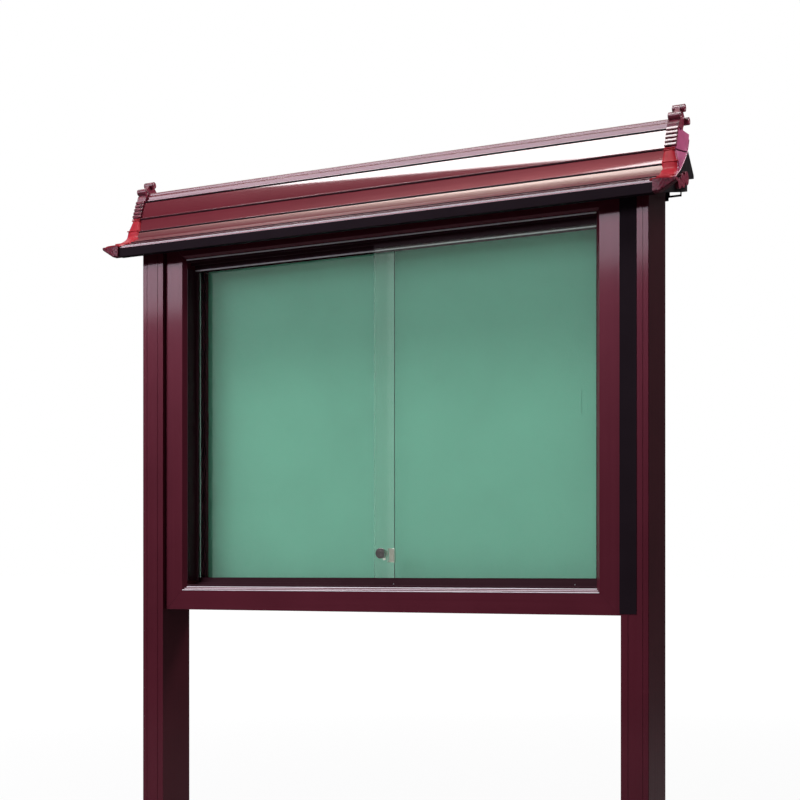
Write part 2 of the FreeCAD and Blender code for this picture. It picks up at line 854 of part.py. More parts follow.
def make_lock():
    """Cylinder lock through the front pane, with a turning plug and a cam behind it."""
    plug_hole = cylinder(
        "lock_bore", "y", D.plug_radius + D.plug_play,
        lock_rear_y - lock_front_y, 0, lock_front_y, lock_z,
    )
    barrel = cylinder(
        "lock_barrel", "y", D.lock_radius, lock_rear_y - lock_front_y, 0, lock_front_y, lock_z
    )
    rim = cylinder("lock_rim", "y", D.lock_radius + D.lock_rim, D.lock_rim, 0, lock_front_y, lock_z)
    keep(cut("lock_body", fused("lock_body_solid", [barrel, rim]), plug_hole), "lock_body")
    nut_y = door_ys[0] + glass_half
    nut = cylinder("lock_nut_disc", "y", D.lock_radius + D.lock_rim, D.lock_rim, 0, nut_y, lock_z)
    nut_hole = cylinder(
        "lock_nut_hole", "y", D.lock_radius + D.plug_play, D.lock_rim, 0, nut_y, lock_z
    )
    keep(cut("lock_nut", nut, nut_hole), "lock_nut")
    plug = cylinder(
        "lock_plug_core", "y", D.plug_radius, cam_y - lock_front_y, 0, lock_front_y, lock_z
    )
    slot_half = D.plug_radius / 2
    slot = block(
        "lock_key_slot",
        (-D.cam_thick / 4, lock_front_y, lock_z - slot_half),
        (D.cam_thick / 4, lock_front_y + D.lock_rim, lock_z + slot_half),
    )
    keep(cut("lock_plug", plug, slot), "lock_plug")
    half = D.cam_width / 2
    tongue = block(
        "lock_cam_tongue",
        (-half, cam_y, lock_z - D.cam_reach),
        (half, cam_y + D.cam_thick, lock_z),
    )
    hub = cylinder("lock_cam_hub", "y", D.plug_radius, D.cam_thick, 0, cam_y, lock_z)
    keep(fused("lock_cam", [tongue, hub]), "lock_cam")


def make_keeper():
    """Keeper clipped over the rear pane's edge, with a slot that the cam turns into."""
    wall = D.keeper_wall
    edge_x = D.door_overlap / 2
    low_z = lock_z - D.cam_reach - wall * 4
    high_z = lock_z + D.cam_width + wall * 3
    front = door_ys[1] - glass_half
    rear = door_ys[1] + glass_half
    tab_x = D.lock_radius + D.keeper_play
    tab_front = cam_y - D.keeper_play - wall * 2
    outline = [
        (tab_x, tab_front),
        (tab_x + wall, tab_front),
        (tab_x + wall, front - wall),
        (edge_x + wall, front - wall),
        (edge_x + wall, rear + wall),
        (tab_x, rear + wall),
        (tab_x, rear),
        (edge_x, rear),
        (edge_x, front),
        (tab_x, front),
    ]
    body = doc.addObject("PartDesign::Body", "lock_keeper")
    add_pad(body, "lock_keeper", "z", low_z, high_z, [outline])
    slot = rectangle(
        cam_y - D.keeper_play, lock_z - D.cam_reach - wall,
        cam_y + D.cam_thick + D.keeper_play, lock_z + D.cam_width / 2 + D.keeper_play,
    )
    add_pocket(body, "lock_keeper_slot", "x", tab_x, tab_x + wall, [slot])
    keep(body, "lock_keeper")


# Knots of the front slope, from the ridge down to the eave, and the step at each of them.
slope = [(D.roof_axis_y - D.ridge_half, ridge_z)]
for run, fall in (
    (D.slope_1_run, D.slope_1_fall),
    (D.slope_2_run, D.slope_2_fall),
    (D.slope_3_run, D.slope_3_fall),
    (D.slope_4_run, D.slope_4_fall),
):
    slope.append((slope[-1][0] - run, slope[-1][1] - fall))
eave = (slope[4][0] - D.eave_run, slope[4][1] - D.eave_fall)
rear_ridge_y = D.roof_axis_y + D.ridge_half
rear_eave = (rear_ridge_y + D.rear_run, ridge_z - D.rear_fall)


def stepped(index):
    """Upper end of the panel below a knot, set back by the step."""
    return (slope[index][0] + D.panel_step, slope[index][1])


def under(index):
    """Underside of the slope at a knot."""
    set_back = D.panel_thick if index == 0 else D.panel_step + D.panel_thick
    return (slope[index][0] + set_back, slope[index][1])


def along_roof(label, outline, inner=None):
    loops = [outline] if inner is None else [outline, inner]
    return extrusion(label, "x", -roof_half_length, roof_half_length, loops)


def make_front_slope():
    """Stepped panels of the front slope, the eave moulding, the fascia and the soffit."""
    along_roof("roof_panel_upper", [slope[0], slope[1], under(1), under(0)])
    along_roof("roof_panel_middle", [stepped(1), slope[2], under(2), under(1)])
    along_roof(
        "roof_panel_lower",
        [stepped(2), slope[3], stepped(3), slope[4], under(4), under(3), under(2)],
    )
    inner_y = under(4)[0]
    edge_z = eave[1] - D.eave_edge
    along_roof(
        "eave_moulding",
        [stepped(4), eave, (eave[0], edge_z), (inner_y, edge_z + D.panel_thick), under(4)],
    )
    bottom_z = edge_z - D.fascia_height
    thick = D.fascia_thick
    turn = D.fascia_return
    along_roof(
        "fascia",
        [
            (eave[0], edge_z),
            (eave[0], bottom_z),
            (eave[0] + turn, bottom_z),
            (eave[0] + turn, bottom_z + thick),
            (eave[0] + thick, bottom_z + thick),
            (eave[0] + thick, edge_z),
        ],
    )
    soffit_z = bottom_z + thick
    rise = frame_front_y - eave[0] - thick
    slope_rate = D.eave_run / 2 / rise
    post_z = soffit_z + slope_rate * (D.post_front_y - eave[0] - thick)
    head_z = soffit_z + D.eave_run / 2
    body = doc.addObject("PartDesign::Body", "soffit_front")
    front = [
        (eave[0] + thick, soffit_z),
        (D.post_front_y, post_z),
        (D.post_front_y, post_z + thick),
        (eave[0] + thick, soffit_z + thick),
    ]
    between = [
        (D.post_front_y, post_z),
        (frame_front_y, head_z),
        (frame_front_y, head_z + thick),
        (D.post_front_y, post_z + thick),
    ]
    add_pad(body, "soffit_run", "x", -roof_half_length, roof_half_length, [front])
    add_pad(body, "soffit_between", "x", -post_inner_x, post_inner_x, [between])
    keep(body, "soffit_front")


def make_rear_slope():
    """Plain rear slope with its eave edge, the rear soffit and the skirt behind the frame."""
    thick = D.panel_thick
    inner = (rear_eave[0] - thick, rear_eave[1])
    along_roof(
        "roof_panel_rear",
        [
            (rear_ridge_y, ridge_z),
            rear_eave,
            (rear_eave[0], rear_eave[1] - D.rear_edge),
            (inner[0], rear_eave[1] - D.rear_edge),
            inner,
            (rear_ridge_y - thick, ridge_z),
        ],
    )
    skirt_top = frame_top_z + D.rear_skirt / 2
    foot_z = skirt_top - D.rear_skirt
    section = [
        (frame_rear_y, foot_z),
        (frame_rear_y + thick, foot_z),
        (frame_rear_y + thick, skirt_top - thick),
        (inner[0], rear_eave[1] - D.rear_edge),
        (inner[0], rear_eave[1] - D.rear_edge + thick),
        (frame_rear_y, skirt_top),
    ]
    sheet = doc.addObject("PartDesign::Body", "rear_skirt_sheet")
    add_pad(sheet, "rear_skirt_sheet", "x", -roof_half_length, roof_half_length, [section])
    # Beyond the posts the skirt is shorter and has a drain slot over its lip.
    rise_z = foot_z + D.skirt_end_rise
    slot_z = rise_z + D.skirt_end_lip
    openings = []
    for side, name in ((-1, "left"), (1, "right")):
        low, high = side_span(side, post_outer_x, roof_half_length + thick)
        near, far = side_span(side, post_outer_x + thick, roof_half_length - thick)
        openings.append(block(
            f"skirt_rise_{name}", (low, frame_rear_y - thick, foot_z - thick),
            (high, frame_rear_y + thick * 2, rise_z),
        ))
        openings.append(block(
            f"skirt_slot_{name}", (near, frame_rear_y - thick, slot_z),
            (far, frame_rear_y + thick * 2, frame_top_z),
        ))
    keep(cut("rear_skirt", sheet, group("skirt_openings", openings)), "rear_skirt")


# Side of the ridge cap from its foot up: steps in from the side, and the share of its rise.
RIDGE_CAP_SIDE = [(0, 0), (0, 0.2), (1, 0.2), (1, 0.5), (2, 0.66), (2, 0.85), (3, 1)]


def make_ridge():
    """Ridge deck between the slopes and the moulded ridge cap on it."""
    thick = D.panel_thick
    deck_front = under(0)[0]
    deck_rear = rear_ridge_y - thick
    top = ridge_z
    along_roof("ridge_deck", rectangle(deck_front, top - thick, deck_rear, top))
    rise = D.ridge_cap_rise
    half = D.ridge_half - D.ridge_cap_inset
    step = D.ridge_cap_step
    front = []
    rear = []
    for count, share in RIDGE_CAP_SIDE:
        front.append((D.roof_axis_y - half + step * count, top + rise * share))
        rear.insert(0, (D.roof_axis_y + half - step * count, top + rise * share))
    last = step * RIDGE_CAP_SIDE[-1][0]
    hollow = rectangle(
        D.roof_axis_y - half + last + thick, top + thick,
        D.roof_axis_y + half - last - thick, top + rise - thick,
    )
    cap_half = roof_half_length + (D.verge_width - D.finial_roll_length) / 2
    extrusion("ridge_cap", "x", -cap_half, cap_half, [front + rear, hollow])


def make_roof_carcass():
    """Base plate on the posts and the frame, and the brackets that carry the slopes."""
    thick = D.panel_thick
    base_top = frame_top_z + thick
    outline = rectangle(under(3)[0], frame_top_z, frame_rear_y, base_top)
    along_roof("roof_base", outline)
    rate = D.rear_fall / D.rear_run
    rear_z = ridge_z - rate * (frame_rear_y + thick - rear_ridge_y)
    deck_rear = rear_ridge_y - thick
    profile = [
        (under(0)[0], ridge_z - thick),
        under(1),
        under(2),
        under(3),
        (under(3)[0], base_top),
        (frame_rear_y, base_top),
        (frame_rear_y, rear_z),
        (deck_rear, ridge_z - thick),
    ]
    width = thick * 2
    brackets = []
    for name, x in (
        ("left", -roof_half_length),
        ("centre", lift(0) - width / 2),
        ("right", roof_half_length - width),
    ):
        body = doc.addObject("PartDesign::Body", f"roof_bracket_{name}")
        add_pad(body, f"roof_bracket_{name}", "x", x, x + width, [profile])
        brackets.append(body)
    keep(group("roof_brackets", brackets), "roof_brackets")


def verge_outline():
    """Front edge of the end castings, standing proud of the slope from ridge to eave."""
    proud = D.verge_proud
    edge = [(slope[0][0] - proud, ridge_z + proud / 2)]
    for knot in slope[1:4]:
        edge.append((knot[0] - proud, knot[1] + proud / 2))
    edge.append((slope[4][0] - proud, slope[4][1] + proud))
    edge.append((eave[0] - proud * 1.5, eave[1] + proud))
    return edge


# Inner points of the barge board's lower edge, from the third knot up to the first: the run
# from the knot as a share of the ridge's width, and the rise as a share of the fall above it.
BARGE_FOOT = [(0.47, 0.25), (0.83, 0.4), (1.08, 0.27)]
RIB_COUNT = 5
# How far a rib's middle stands out from the verge's edge, as a share of its radius.
RIB_STAND = 0.4


def make_end_castings():
    """Gable castings at both ends: web, ribs, barge board, finial, ornament and eave cap."""
    edge = verge_outline()
    nose_y = edge[-1][0]
    edge_z = eave[1] - D.eave_edge
    fascia_bottom = edge_z - D.fascia_height
    cap_rear = eave[0] + D.fascia_thick * 6
    web_thick = D.verge_width - D.barge_thick
    rear_low = frame_rear_y + D.panel_thick * 3
    web = edge + [
        (nose_y, edge_z),
        (cap_rear, edge_z),
        (cap_rear, fascia_bottom),
        (rear_low, frame_top_z - D.rear_skirt / 10),
        (rear_low, frame_top_z + D.rear_skirt / 2),
        (rear_eave[0], rear_eave[1] - D.rear_edge),
        rear_eave,
        (rear_ridge_y, edge[0][1]),
    ]
    width = D.ridge_half * 2
    lower = [
        (nose_y, edge_z + D.eave_edge / 2),
        (cap_rear + D.verge_proud, edge_z + D.eave_edge / 2),
        (slope[4][0] + D.slope_4_run * 0.8, slope[4][1] + D.slope_4_fall * 0.35),
    ]
    falls = (D.slope_3_fall, D.slope_2_fall, D.slope_1_fall)
    for knot, fall, (run, rise) in zip(slope[3:0:-1], falls, BARGE_FOOT):
        lower.append((knot[0] + width * run, knot[1] + fall * rise))
    lower.append((slope[0][0] + width * 1.02, edge[0][1]))
    for side, name in ((-1, "left"), (1, "right")):
        near, far = side_span(side, roof_half_length, roof_half_length + web_thick)
        body = doc.addObject("PartDesign::Body", f"gable_web_{name}")
        add_pad(body, f"gable_web_{name}", "x", near, far, [web])
        ribs = []
        rib_low, rib_high = side_span(
            side, roof_half_length, roof_half_length + D.verge_width
        )
        for index in range(RIB_COUNT):
            share = (index + 0.5) / RIB_COUNT
            y = edge[0][0] + (edge[1][0] - edge[0][0]) * share - D.rib_radius * RIB_STAND
            z = edge[0][1] + (edge[1][1] - edge[0][1]) * share
            ribs.append(cylinder(
                f"verge_rib_{name}_{index}", "x", D.rib_radius, rib_high - rib_low, rib_low, y, z,
            ))
        barge_near, barge_far = side_span(
            side, roof_half_length + web_thick, roof_half_length + D.verge_width
        )
        barge = doc.addObject("PartDesign::Body", f"barge_blank_{name}")
        add_pad(barge, f"barge_blank_{name}", "x", barge_near, barge_far, [edge + lower])
        rib_group = group(f"verge_ribs_{name}", ribs)
        keep(fused(f"gable_plate_{name}", [body] + ribs), f"gable_plate_{name}")
        keep(cut(f"barge_board_{name}", barge, rib_group), f"barge_board_{name}")
        make_finial(side, name, edge[0][1])
        make_ornament(side, name)
        make_eave_cap(side, name, nose_y, edge_z, fascia_bottom, cap_rear)


# The finial's rolls and the corners of its neck, in roll radii from the roof's axis and the
# finial's foot.
FINIAL_ROLLS = [(-3.4, 2.9), (0, 5.6), (3.4, 3.1)]
FINIAL_NECK = [(-4.2, 0), (-3.4, 2.9), (-0.9, 5.6), (0.9, 5.6), (3.4, 3.1), (1.4, 1), (1.2, 0)]


def make_finial(side, name, foot_z):
    """Ridge-end finial: a flat neck that carries three scroll rolls."""
    radius = D.finial_roll_radius
    middle_x = roof_half_length + D.verge_width / 2
    roll_low, roll_high = side_span(
        side, middle_x - D.finial_roll_length / 2, middle_x + D.finial_roll_length / 2
    )
    axis_y = D.roof_axis_y
    rolls = [(axis_y + radius * run, foot_z + radius * rise) for run, rise in FINIAL_ROLLS]
    neck_low, neck_high = side_span(
        side, middle_x - D.finial_plate / 2, middle_x + D.finial_plate / 2
    )
    neck = [(axis_y + radius * run, foot_z + radius * rise) for run, rise in FINIAL_NECK]
    body = doc.addObject("PartDesign::Body", f"finial_neck_{name}")
    add_pad(body, f"finial_neck_{name}", "x", neck_low, neck_high, [neck])
    pieces = [body]
    for index, (y, z) in enumerate(rolls):
        pieces.append(cylinder(
            f"finial_roll_{name}_{index}", "x", radius, roll_high - roll_low, roll_low, y, z,
        ))
    keep(fused(f"finial_{name}", pieces), f"finial_{name}")


# Lobes of the pendant, in ornament radii from the roof's axis and the third step: the run,
# the rise and the radius.
ORNAMENT_LOBES = [(-1.06, -0.88, 0.765), (0.47, -0.18, 1), (2.12, 0.53, 1)]


def make_ornament(side, name):
    """Carved pendant under the gable, three lobes on the web's outer face."""
    near, far = side_span(
        side,
        roof_half_length + D.verge_width - D.barge_thick,
        roof_half_length + D.verge_width - D.barge_thick / 3,
    )
    unit = D.ornament_radius
    pieces = []
    for index, (run, rise, share) in enumerate(ORNAMENT_LOBES):
        pieces.append(cylinder(
            f"ornament_lobe_{name}_{index}", "x", unit * share, far - near,
            near, D.roof_axis_y + unit * run, slope[3][1] + unit * rise,
        ))
    keep(fused(f"gable_ornament_{name}", pieces), f"gable_ornament_{name}")


def make_eave_cap(side, name, nose_y, edge_z, bottom_z, cap_rear):
    """Cap on the fascia's end with a thin pointed tip that runs outward."""
    low, high = side_span(side, roof_half_length, roof_half_length + D.eave_cap_width)
    front = eave[0] - D.verge_proud
    cap = block(f"eave_cap_block_{name}", (low, front, bottom_z), (high, cap_rear, edge_z))
    root = roof_half_length + D.verge_width
    tip = [
        (side * root, nose_y),
        (side * (root + D.eave_tip_width), nose_y),
        (side * root, cap_rear),
    ]
    body = doc.addObject("PartDesign::Body", f"eave_tip_{name}")
    add_pad(body, f"eave_tip_{name}", "z", edge_z, eave[1] + D.verge_proud / 4, [tip])
    keep(fused(f"eave_cap_{name}", [cap, body]), f"eave_cap_{name}")


make_posts()
make_closing_strip()
make_feet()
make_frame()
make_corner_keys()
make_fixings()
make_board()
make_tracks()
make_jambs()
make_glass()
make_shoes()
make_rollers()
make_lock()
make_keeper()
make_front_slope()
make_rear_slope()
make_ridge()
make_roof_carcass()
make_end_castings()

doc.recompute()

for obj in doc.Objects:
    if "Invalid" in obj.State or "Error" in obj.State:
        raise RuntimeError(f"{obj.Label} did not build: {obj.State}")
for part in PARTS:
    if part.Shape.isNull() or not part.Shape.isValid() or not part.Shape.Solids:
        raise RuntimeError(f"{part.Label} has no valid solid")

os.makedirs("parts", exist_ok=True)
for part in PARTS:
    part.Shape.exportStep(f"parts/{part.Label}.step")
print(len(PARTS), "sub-parts")
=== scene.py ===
import json
import math

import bmesh
import bpy
from mathutils import Matrix, Vector


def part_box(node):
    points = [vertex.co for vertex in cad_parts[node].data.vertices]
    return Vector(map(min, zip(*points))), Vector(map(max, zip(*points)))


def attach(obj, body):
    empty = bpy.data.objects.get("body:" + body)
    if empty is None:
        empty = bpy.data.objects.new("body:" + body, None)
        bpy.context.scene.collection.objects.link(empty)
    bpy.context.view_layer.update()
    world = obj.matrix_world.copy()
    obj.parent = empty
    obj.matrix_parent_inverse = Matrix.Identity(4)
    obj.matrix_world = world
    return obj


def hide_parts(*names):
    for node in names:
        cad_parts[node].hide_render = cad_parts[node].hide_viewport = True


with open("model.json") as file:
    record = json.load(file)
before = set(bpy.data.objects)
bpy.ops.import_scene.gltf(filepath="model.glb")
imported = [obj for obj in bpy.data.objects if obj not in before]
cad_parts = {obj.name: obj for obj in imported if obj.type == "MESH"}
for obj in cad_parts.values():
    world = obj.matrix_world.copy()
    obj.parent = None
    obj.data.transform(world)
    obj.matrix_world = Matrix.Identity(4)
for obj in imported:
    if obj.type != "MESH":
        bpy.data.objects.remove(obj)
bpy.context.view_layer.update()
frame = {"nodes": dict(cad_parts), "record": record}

bl_info = {
    "name": "Roofed notice board",
    "version": (1, 0, 0),
    "blender": (4, 5, 0),
    "location": "View3D > Sidebar > Notice Board",
    "description": "Dresses a roofed notice board: enamelled metal, castings, glass, a green face",
    "category": "Object",
}

# The solids alone, kept before any piece is added.
NODES = frame["nodes"]
BODY_OF = {
    name: body
    for body, members in frame["record"]["behaviour"]["bodies"].items()
    for name in members
}
SLOT_OF = {row["node"]: row["material_slot"] for row in frame["record"]["subparts"]}
MM = 0.001
ENDS = (("left", -1), ("right", 1))
# Distances from the board's middle along X, in millimetres: the end of the roof's runs, which
# is the inner face of a gable web; the web's outer face; the face of the barge board; where
# the foot of the carved nose starts to rise, and the nose's tip.
ROOF_END, WEB_FACE, BARGE_FACE, NOSE_RISE, NOSE_TIP = 781, 793, 805, 799, 837


def linear(text):
    """Turns an sRGB hex colour into the linear RGBA that a shader socket takes."""
    channels = [int(text[index:index + 2], 16) / 255 for index in (1, 3, 5)]
    made = [c / 12.92 if c <= 0.04045 else ((c + 0.055) / 1.055) ** 2.4 for c in channels]
    return (*made, 1.0)


def add(tree, kind, links=None, **settings):
    """Adds a node; links maps its inputs to values or to the sockets that feed them."""
    made = tree.nodes.new(kind)
    for key, value in settings.items():
        setattr(made, key, value)
    for key, value in (links or {}).items():
        if isinstance(value, bpy.types.NodeSocket):
            tree.links.new(value, made.inputs[key])
        else:
            made.inputs[key].default_value = value
    return made


def hex_colour(name, description, default):
    """A property that holds a finish's colour, as sRGB hex."""
    return bpy.props.StringProperty(name=name, description=description, default=default)


def length(name, description, default):
    """A property that holds a length."""
    return bpy.props.FloatProperty(
        name=name, description=description, default=default, unit="LENGTH")


def amount(name, description, default):
    """A property that holds a plain number."""
    return bpy.props.FloatProperty(name=name, description=description, default=default)


class FinishColours(bpy.types.PropertyGroup):
    """Colours of the finishes, as sRGB hex."""

    enamel: hex_colour("Enamel", "Maroon enamel on the posts and the frame", "#521A27")
    # The roof's enamel is lighter than the posts' as painted light from above.
    enamel_roof_painted_light: hex_colour("Roof enamel with painted light", "Crimson enamel on the roof's runs, lighter as painted light", "#66202C")
    # The verge strips' red is brightened as painted light and reflection.
    enamel_verge_painted_light: hex_colour("Verge enamel with painted light", "Red enamel on the verge strips, brightened as painted light", "#B0202E")
    enamel_cast: hex_colour("Cast enamel", "Maroon enamel on scrolls and ribs", "#60162A")
    enamel_carved: hex_colour(
        "Carved enamel", "Dark maroon enamel on the carved nose and pendant", "#581426")
    # The barge boards' mauve is lightened as a painted reflection of the backdrop.
    enamel_barge_painted_reflection: hex_colour("Barge enamel with painted reflection", "Mauve-red enamel on the barge boards, lightened as painted reflection", "#9C3C68")
    # The inner enamel is darker as painted shade in the case's recess.
    enamel_inner_painted_shade: hex_colour("Inner enamel with painted shade", "Dark enamel on tracks and linings, painted shade in the recess", "#381A23")
    # A dark copy of the maroon: painted shade under the eave.
    enamel_painted_shade: hex_colour("Painted shade enamel", "Dark enamel painted as shade on fascia, soffit and gables", "#20171D")
    # A pale enamel: painted highlights along the lit edges.
    enamel_painted_highlight: hex_colour("Painted highlight enamel", "Painted highlight along the lips of the case", "#F2E6F0")
    board: hex_colour("Board", "Green pinning sheet", "#66A48C")
    backing: hex_colour("Backing", "Foamed backing board", "#C4BFB3")
    nylon: hex_colour("Nylon", "Rollers of the doors", "#E2DFD4")
    glass: hex_colour("Glass", "Faint tint of the panes", "#F6FCF9")


class EdgeSizes(bpy.types.PropertyGroup):
    """Widths of the softened edges."""

    extrusion: length("Extrusion edge", "Edge radius of an extrusion", 0.0007)
    roof: length("Roof edge", "Edge radius of the roof's runs", 0.0009)
    casting: length("Casting edge", "Edge radius of a casting", 0.0018)
    glass: length("Glass arris", "Ground arris of a pane", 0.0006)


class CastingSizes(bpy.types.PropertyGroup):
    """Sizes of the cast roof ends."""

    rib_count: bpy.props.IntProperty(
        name="Ribs", description="Stacked ribs at the top of each verge", default=5)
    bead: length("Bead", "Radius of the bead along a barge board's foot", 0.0013)
    lap: length("Lap", "How far the strip laps over the roof's panels", 0.004)
    band: length("Band", "Radius of the bands across the strip", 0.0016)
    scroll: length("Scroll", "Radius of the bead that winds into a roll's end", 0.0009)


class StageSizes(bpy.types.PropertyGroup):
    """Camera, floor and lamps."""

    eye: bpy.props.FloatVectorProperty(
        name="Eye", description="Where the camera stands", default=(1.947, -3.569, 0.957),
        subtype="TRANSLATION", unit="LENGTH")
    turn: bpy.props.FloatProperty(
        name="Turn", description="Camera's turn to the left of straight ahead",
        default=math.radians(28.1), subtype="ANGLE")
    lens: amount("Lens", "Focal length in millimetres", 69.17)
    rise: amount("Rise", "Upward shift of the view", 0.214)
    floor_half: length("Floor half", "Half the floor's side", 200.0)
    key: amount("Key", "Brightness of the high softbox", 18.0)
    front: amount("Front", "Brightness of the low softbox in front", 6.5)
    rear: amount("Rear", "Brightness of the softbox behind", 9.0)
    gable: amount("Gable", "Brightness of the softbox on the cast ends", 22.0)
    fill: amount("Fill", "World light on the object", 0.18)


# How far a pattern is stretched along a drawn piece that stands or lies.
UPRIGHT = (150.0, 150.0, 1.2)
LYING = (1.2, 150.0, 150.0)


def blank_material(name):
    """A material with an empty tree, and the Object coordinates for its patterns."""
    material = bpy.data.materials.new(name)
    material.use_nodes = True
    tree = material.node_tree
    tree.nodes.clear()
    return material, tree, add(tree, "ShaderNodeTexCoord").outputs["Object"]


def toned(base, factor, lift=0.0):
    """A linear colour made darker or lighter."""
    return (*(min(1.0, c * factor + lift) for c in base[:3]), 1.0)


def enamel(name, colour, rough, grain, streak=0.0, coat=0.0, gloss=0.1, shine=0.5,
           tint="#FFFFFF", dense=1.5):
    """Stoved enamel: a baked colour coat over the draw lines of an extrusion."""
    material, tree, place = blank_material(name)
    # Cloudiness of the coat, over hands' widths.
    cloud = add(tree, "ShaderNodeTexNoise", {"Vector": place, "Scale": 7.0, "Detail": 3.0})
    # Draw lines of the die, really a millimetre apart and drawn at about six so that they show.
    along = add(tree, "ShaderNodeMapping", {"Vector": place, "Scale": grain})
    lines = add(tree, "ShaderNodeTexNoise", {"Vector": along.outputs[0], "Scale": 1.0,
                                             "Detail": 3.0})
    share = add(tree, "ShaderNodeMath", {0: lines.outputs["Fac"], 1: streak},
                operation="MULTIPLY")
    both = add(tree, "ShaderNodeMath", {0: cloud.outputs["Fac"], 1: share.outputs[0]},
               operation="ADD")
    base = linear(colour)
    tone = add(tree, "ShaderNodeMix", {
        "Factor": both.outputs[0], "A": toned(base, 0.78), "B": toned(base, 1.22, 0.002)},
        data_type="RGBA")
    # Orange peel, about a millimetre and a half across.
    skin = add(tree, "ShaderNodeTexNoise", {"Vector": place, "Scale": 700.0, "Detail": 2.0})
    peel = add(tree, "ShaderNodeBump", {"Height": skin.outputs["Fac"], "Strength": 0.08,
                                        "Distance": 0.0003})
    drawn = add(tree, "ShaderNodeBump", {"Height": lines.outputs["Fac"], "Strength": streak,
                                         "Distance": 0.0006, "Normal": peel.outputs[0]})
    dull = add(tree, "ShaderNodeMapRange", {"Value": lines.outputs["Fac"], "To Min": rough - 0.06,
                                            "To Max": rough + 0.08})
    shader = add(tree, "ShaderNodeBsdfPrincipled", {
        "Base Color": tone.outputs["Result"], "Roughness": dull.outputs[0],
        "Coat Weight": coat, "Coat Roughness": gloss, "Coat IOR": dense,
        "Specular IOR Level": shine, "Specular Tint": linear(tint), "Normal": drawn.outputs[0]})
    add(tree, "ShaderNodeOutputMaterial", {"Surface": shader.outputs[0]})
    return material


def cast_enamel(name, colour, rough, grain, depth, coat=0.0, shine=0.5, pool=0.35):
    """Enamel on a sand casting: the coat follows the sand's grain and pools in the carving."""
    material, tree, place = blank_material(name)
    sand = add(tree, "ShaderNodeTexNoise", {"Vector": place, "Scale": grain, "Detail": 4.0})
    leaf = add(tree, "ShaderNodeTexVoronoi", {"Vector": place, "Scale": grain * 0.5})
    height = add(tree, "ShaderNodeMath", {0: sand.outputs["Fac"], 1: leaf.outputs["Distance"]},
                 operation="ADD")
    base = linear(colour)
    level = add(tree, "ShaderNodeMapRange", {"Value": height.outputs[0], "From Min": 0.5,
                                             "From Max": 1.1})
    tone = add(tree, "ShaderNodeMix", {
        "Factor": level.outputs[0], "A": toned(base, pool), "B": toned(base, 1.8 - pool, 0.004)},
        data_type="RGBA")
    bump = add(tree, "ShaderNodeBump", {"Height": height.outputs[0], "Strength": 0.9,
                                        "Distance": depth})
    shader = add(tree, "ShaderNodeBsdfPrincipled", {
        "Base Color": tone.outputs["Result"], "Roughness": rough, "Coat Weight": coat,
        "Specular IOR Level": shine, "Coat Roughness": 0.15, "Normal": bump.outputs[0]})
    add(tree, "ShaderNodeOutputMaterial", {"Surface": shader.outputs[0]})
    return material


def board_sheet(name, colour):
    """Calendered pinning sheet: a soft matt face with a fine printed-on grain."""
    material, tree, place = blank_material(name)
    # The grain is about 2 mm across, the cloud of the calender about 150 mm.
    grain = add(tree, "ShaderNodeTexNoise", {"Vector": place, "Scale": 520.0, "Detail": 3.0,
                                             "Roughness": 0.7})
    cloud = add(tree, "ShaderNodeTexNoise", {"Vector": place, "Scale": 6.5, "Detail": 2.0})
    faint = add(tree, "ShaderNodeMath", {0: cloud.outputs["Fac"], 1: 0.3}, operation="MULTIPLY")
    mixed = add(tree, "ShaderNodeMath", {0: grain.outputs["Fac"], 1: faint.outputs[0]},
                operation="ADD")
    base = linear(colour)
    level = add(tree, "ShaderNodeMapRange", {"Value": mixed.outputs[0], "From Min": 0.35,
                                             "From Max": 0.95})
    tone = add(tree, "ShaderNodeMix", {
        "Factor": level.outputs[0], "A": toned(base, 0.84), "B": toned(base, 1.16)},
        data_type="RGBA")
    bump = add(tree, "ShaderNodeBump", {"Height": grain.outputs["Fac"], "Strength": 0.25,
                                        "Distance": 0.0004})
    shader = add(tree, "ShaderNodeBsdfPrincipled", {
        "Base Color": tone.outputs["Result"], "Roughness": 0.88, "Specular IOR Level": 0.2,
        "Normal": bump.outputs[0]})
    add(tree, "ShaderNodeOutputMaterial", {"Surface": shader.outputs[0]})
    return material


def metal_surface(name, colour, rough, grain, stretch):
    """Bare or plated metal: a rolled or turned surface with fine lines one way."""
    material, tree, place = blank_material(name)
    along = add(tree, "ShaderNodeMapping", {"Vector": place, "Scale": stretch})
    lines = add(tree, "ShaderNodeTexNoise", {"Vector": along.outputs[0], "Scale": grain,
                                             "Detail": 3.0})
    gloss = add(tree, "ShaderNodeMapRange", {"Value": lines.outputs["Fac"],
                                             "To Min": rough - 0.07, "To Max": rough + 0.08})
    bump = add(tree, "ShaderNodeBump", {"Height": lines.outputs["Fac"], "Strength": 0.1,
                                        "Distance": 0.0002})
    shader = add(tree, "ShaderNodeBsdfPrincipled", {
        "Base Color": linear(colour), "Roughness": gloss.outputs[0], "Metallic": 1.0,
        "Normal": bump.outputs[0]})
    add(tree, "ShaderNodeOutputMaterial", {"Surface": shader.outputs[0]})
    return material


def moulded_plastic(name, colour, rough):
    """Moulded or foamed plastic with a faint cellular skin."""
    material, tree, place = blank_material(name)
    skin = add(tree, "ShaderNodeTexNoise", {"Vector": place, "Scale": 900.0, "Detail": 2.0})
    base = linear(colour)
    tone = add(tree, "ShaderNodeMix", {
        "Factor": skin.outputs["Fac"], "A": toned(base, 0.9), "B": base}, data_type="RGBA")
    bump = add(tree, "ShaderNodeBump", {"Height": skin.outputs["Fac"], "Strength": 0.1,
                                        "Distance": 0.0002})
    shader = add(tree, "ShaderNodeBsdfPrincipled", {
        "Base Color": tone.outputs["Result"], "Roughness": rough, "Normal": bump.outputs[0]})
    add(tree, "ShaderNodeOutputMaterial", {"Surface": shader.outputs[0]})
    return material


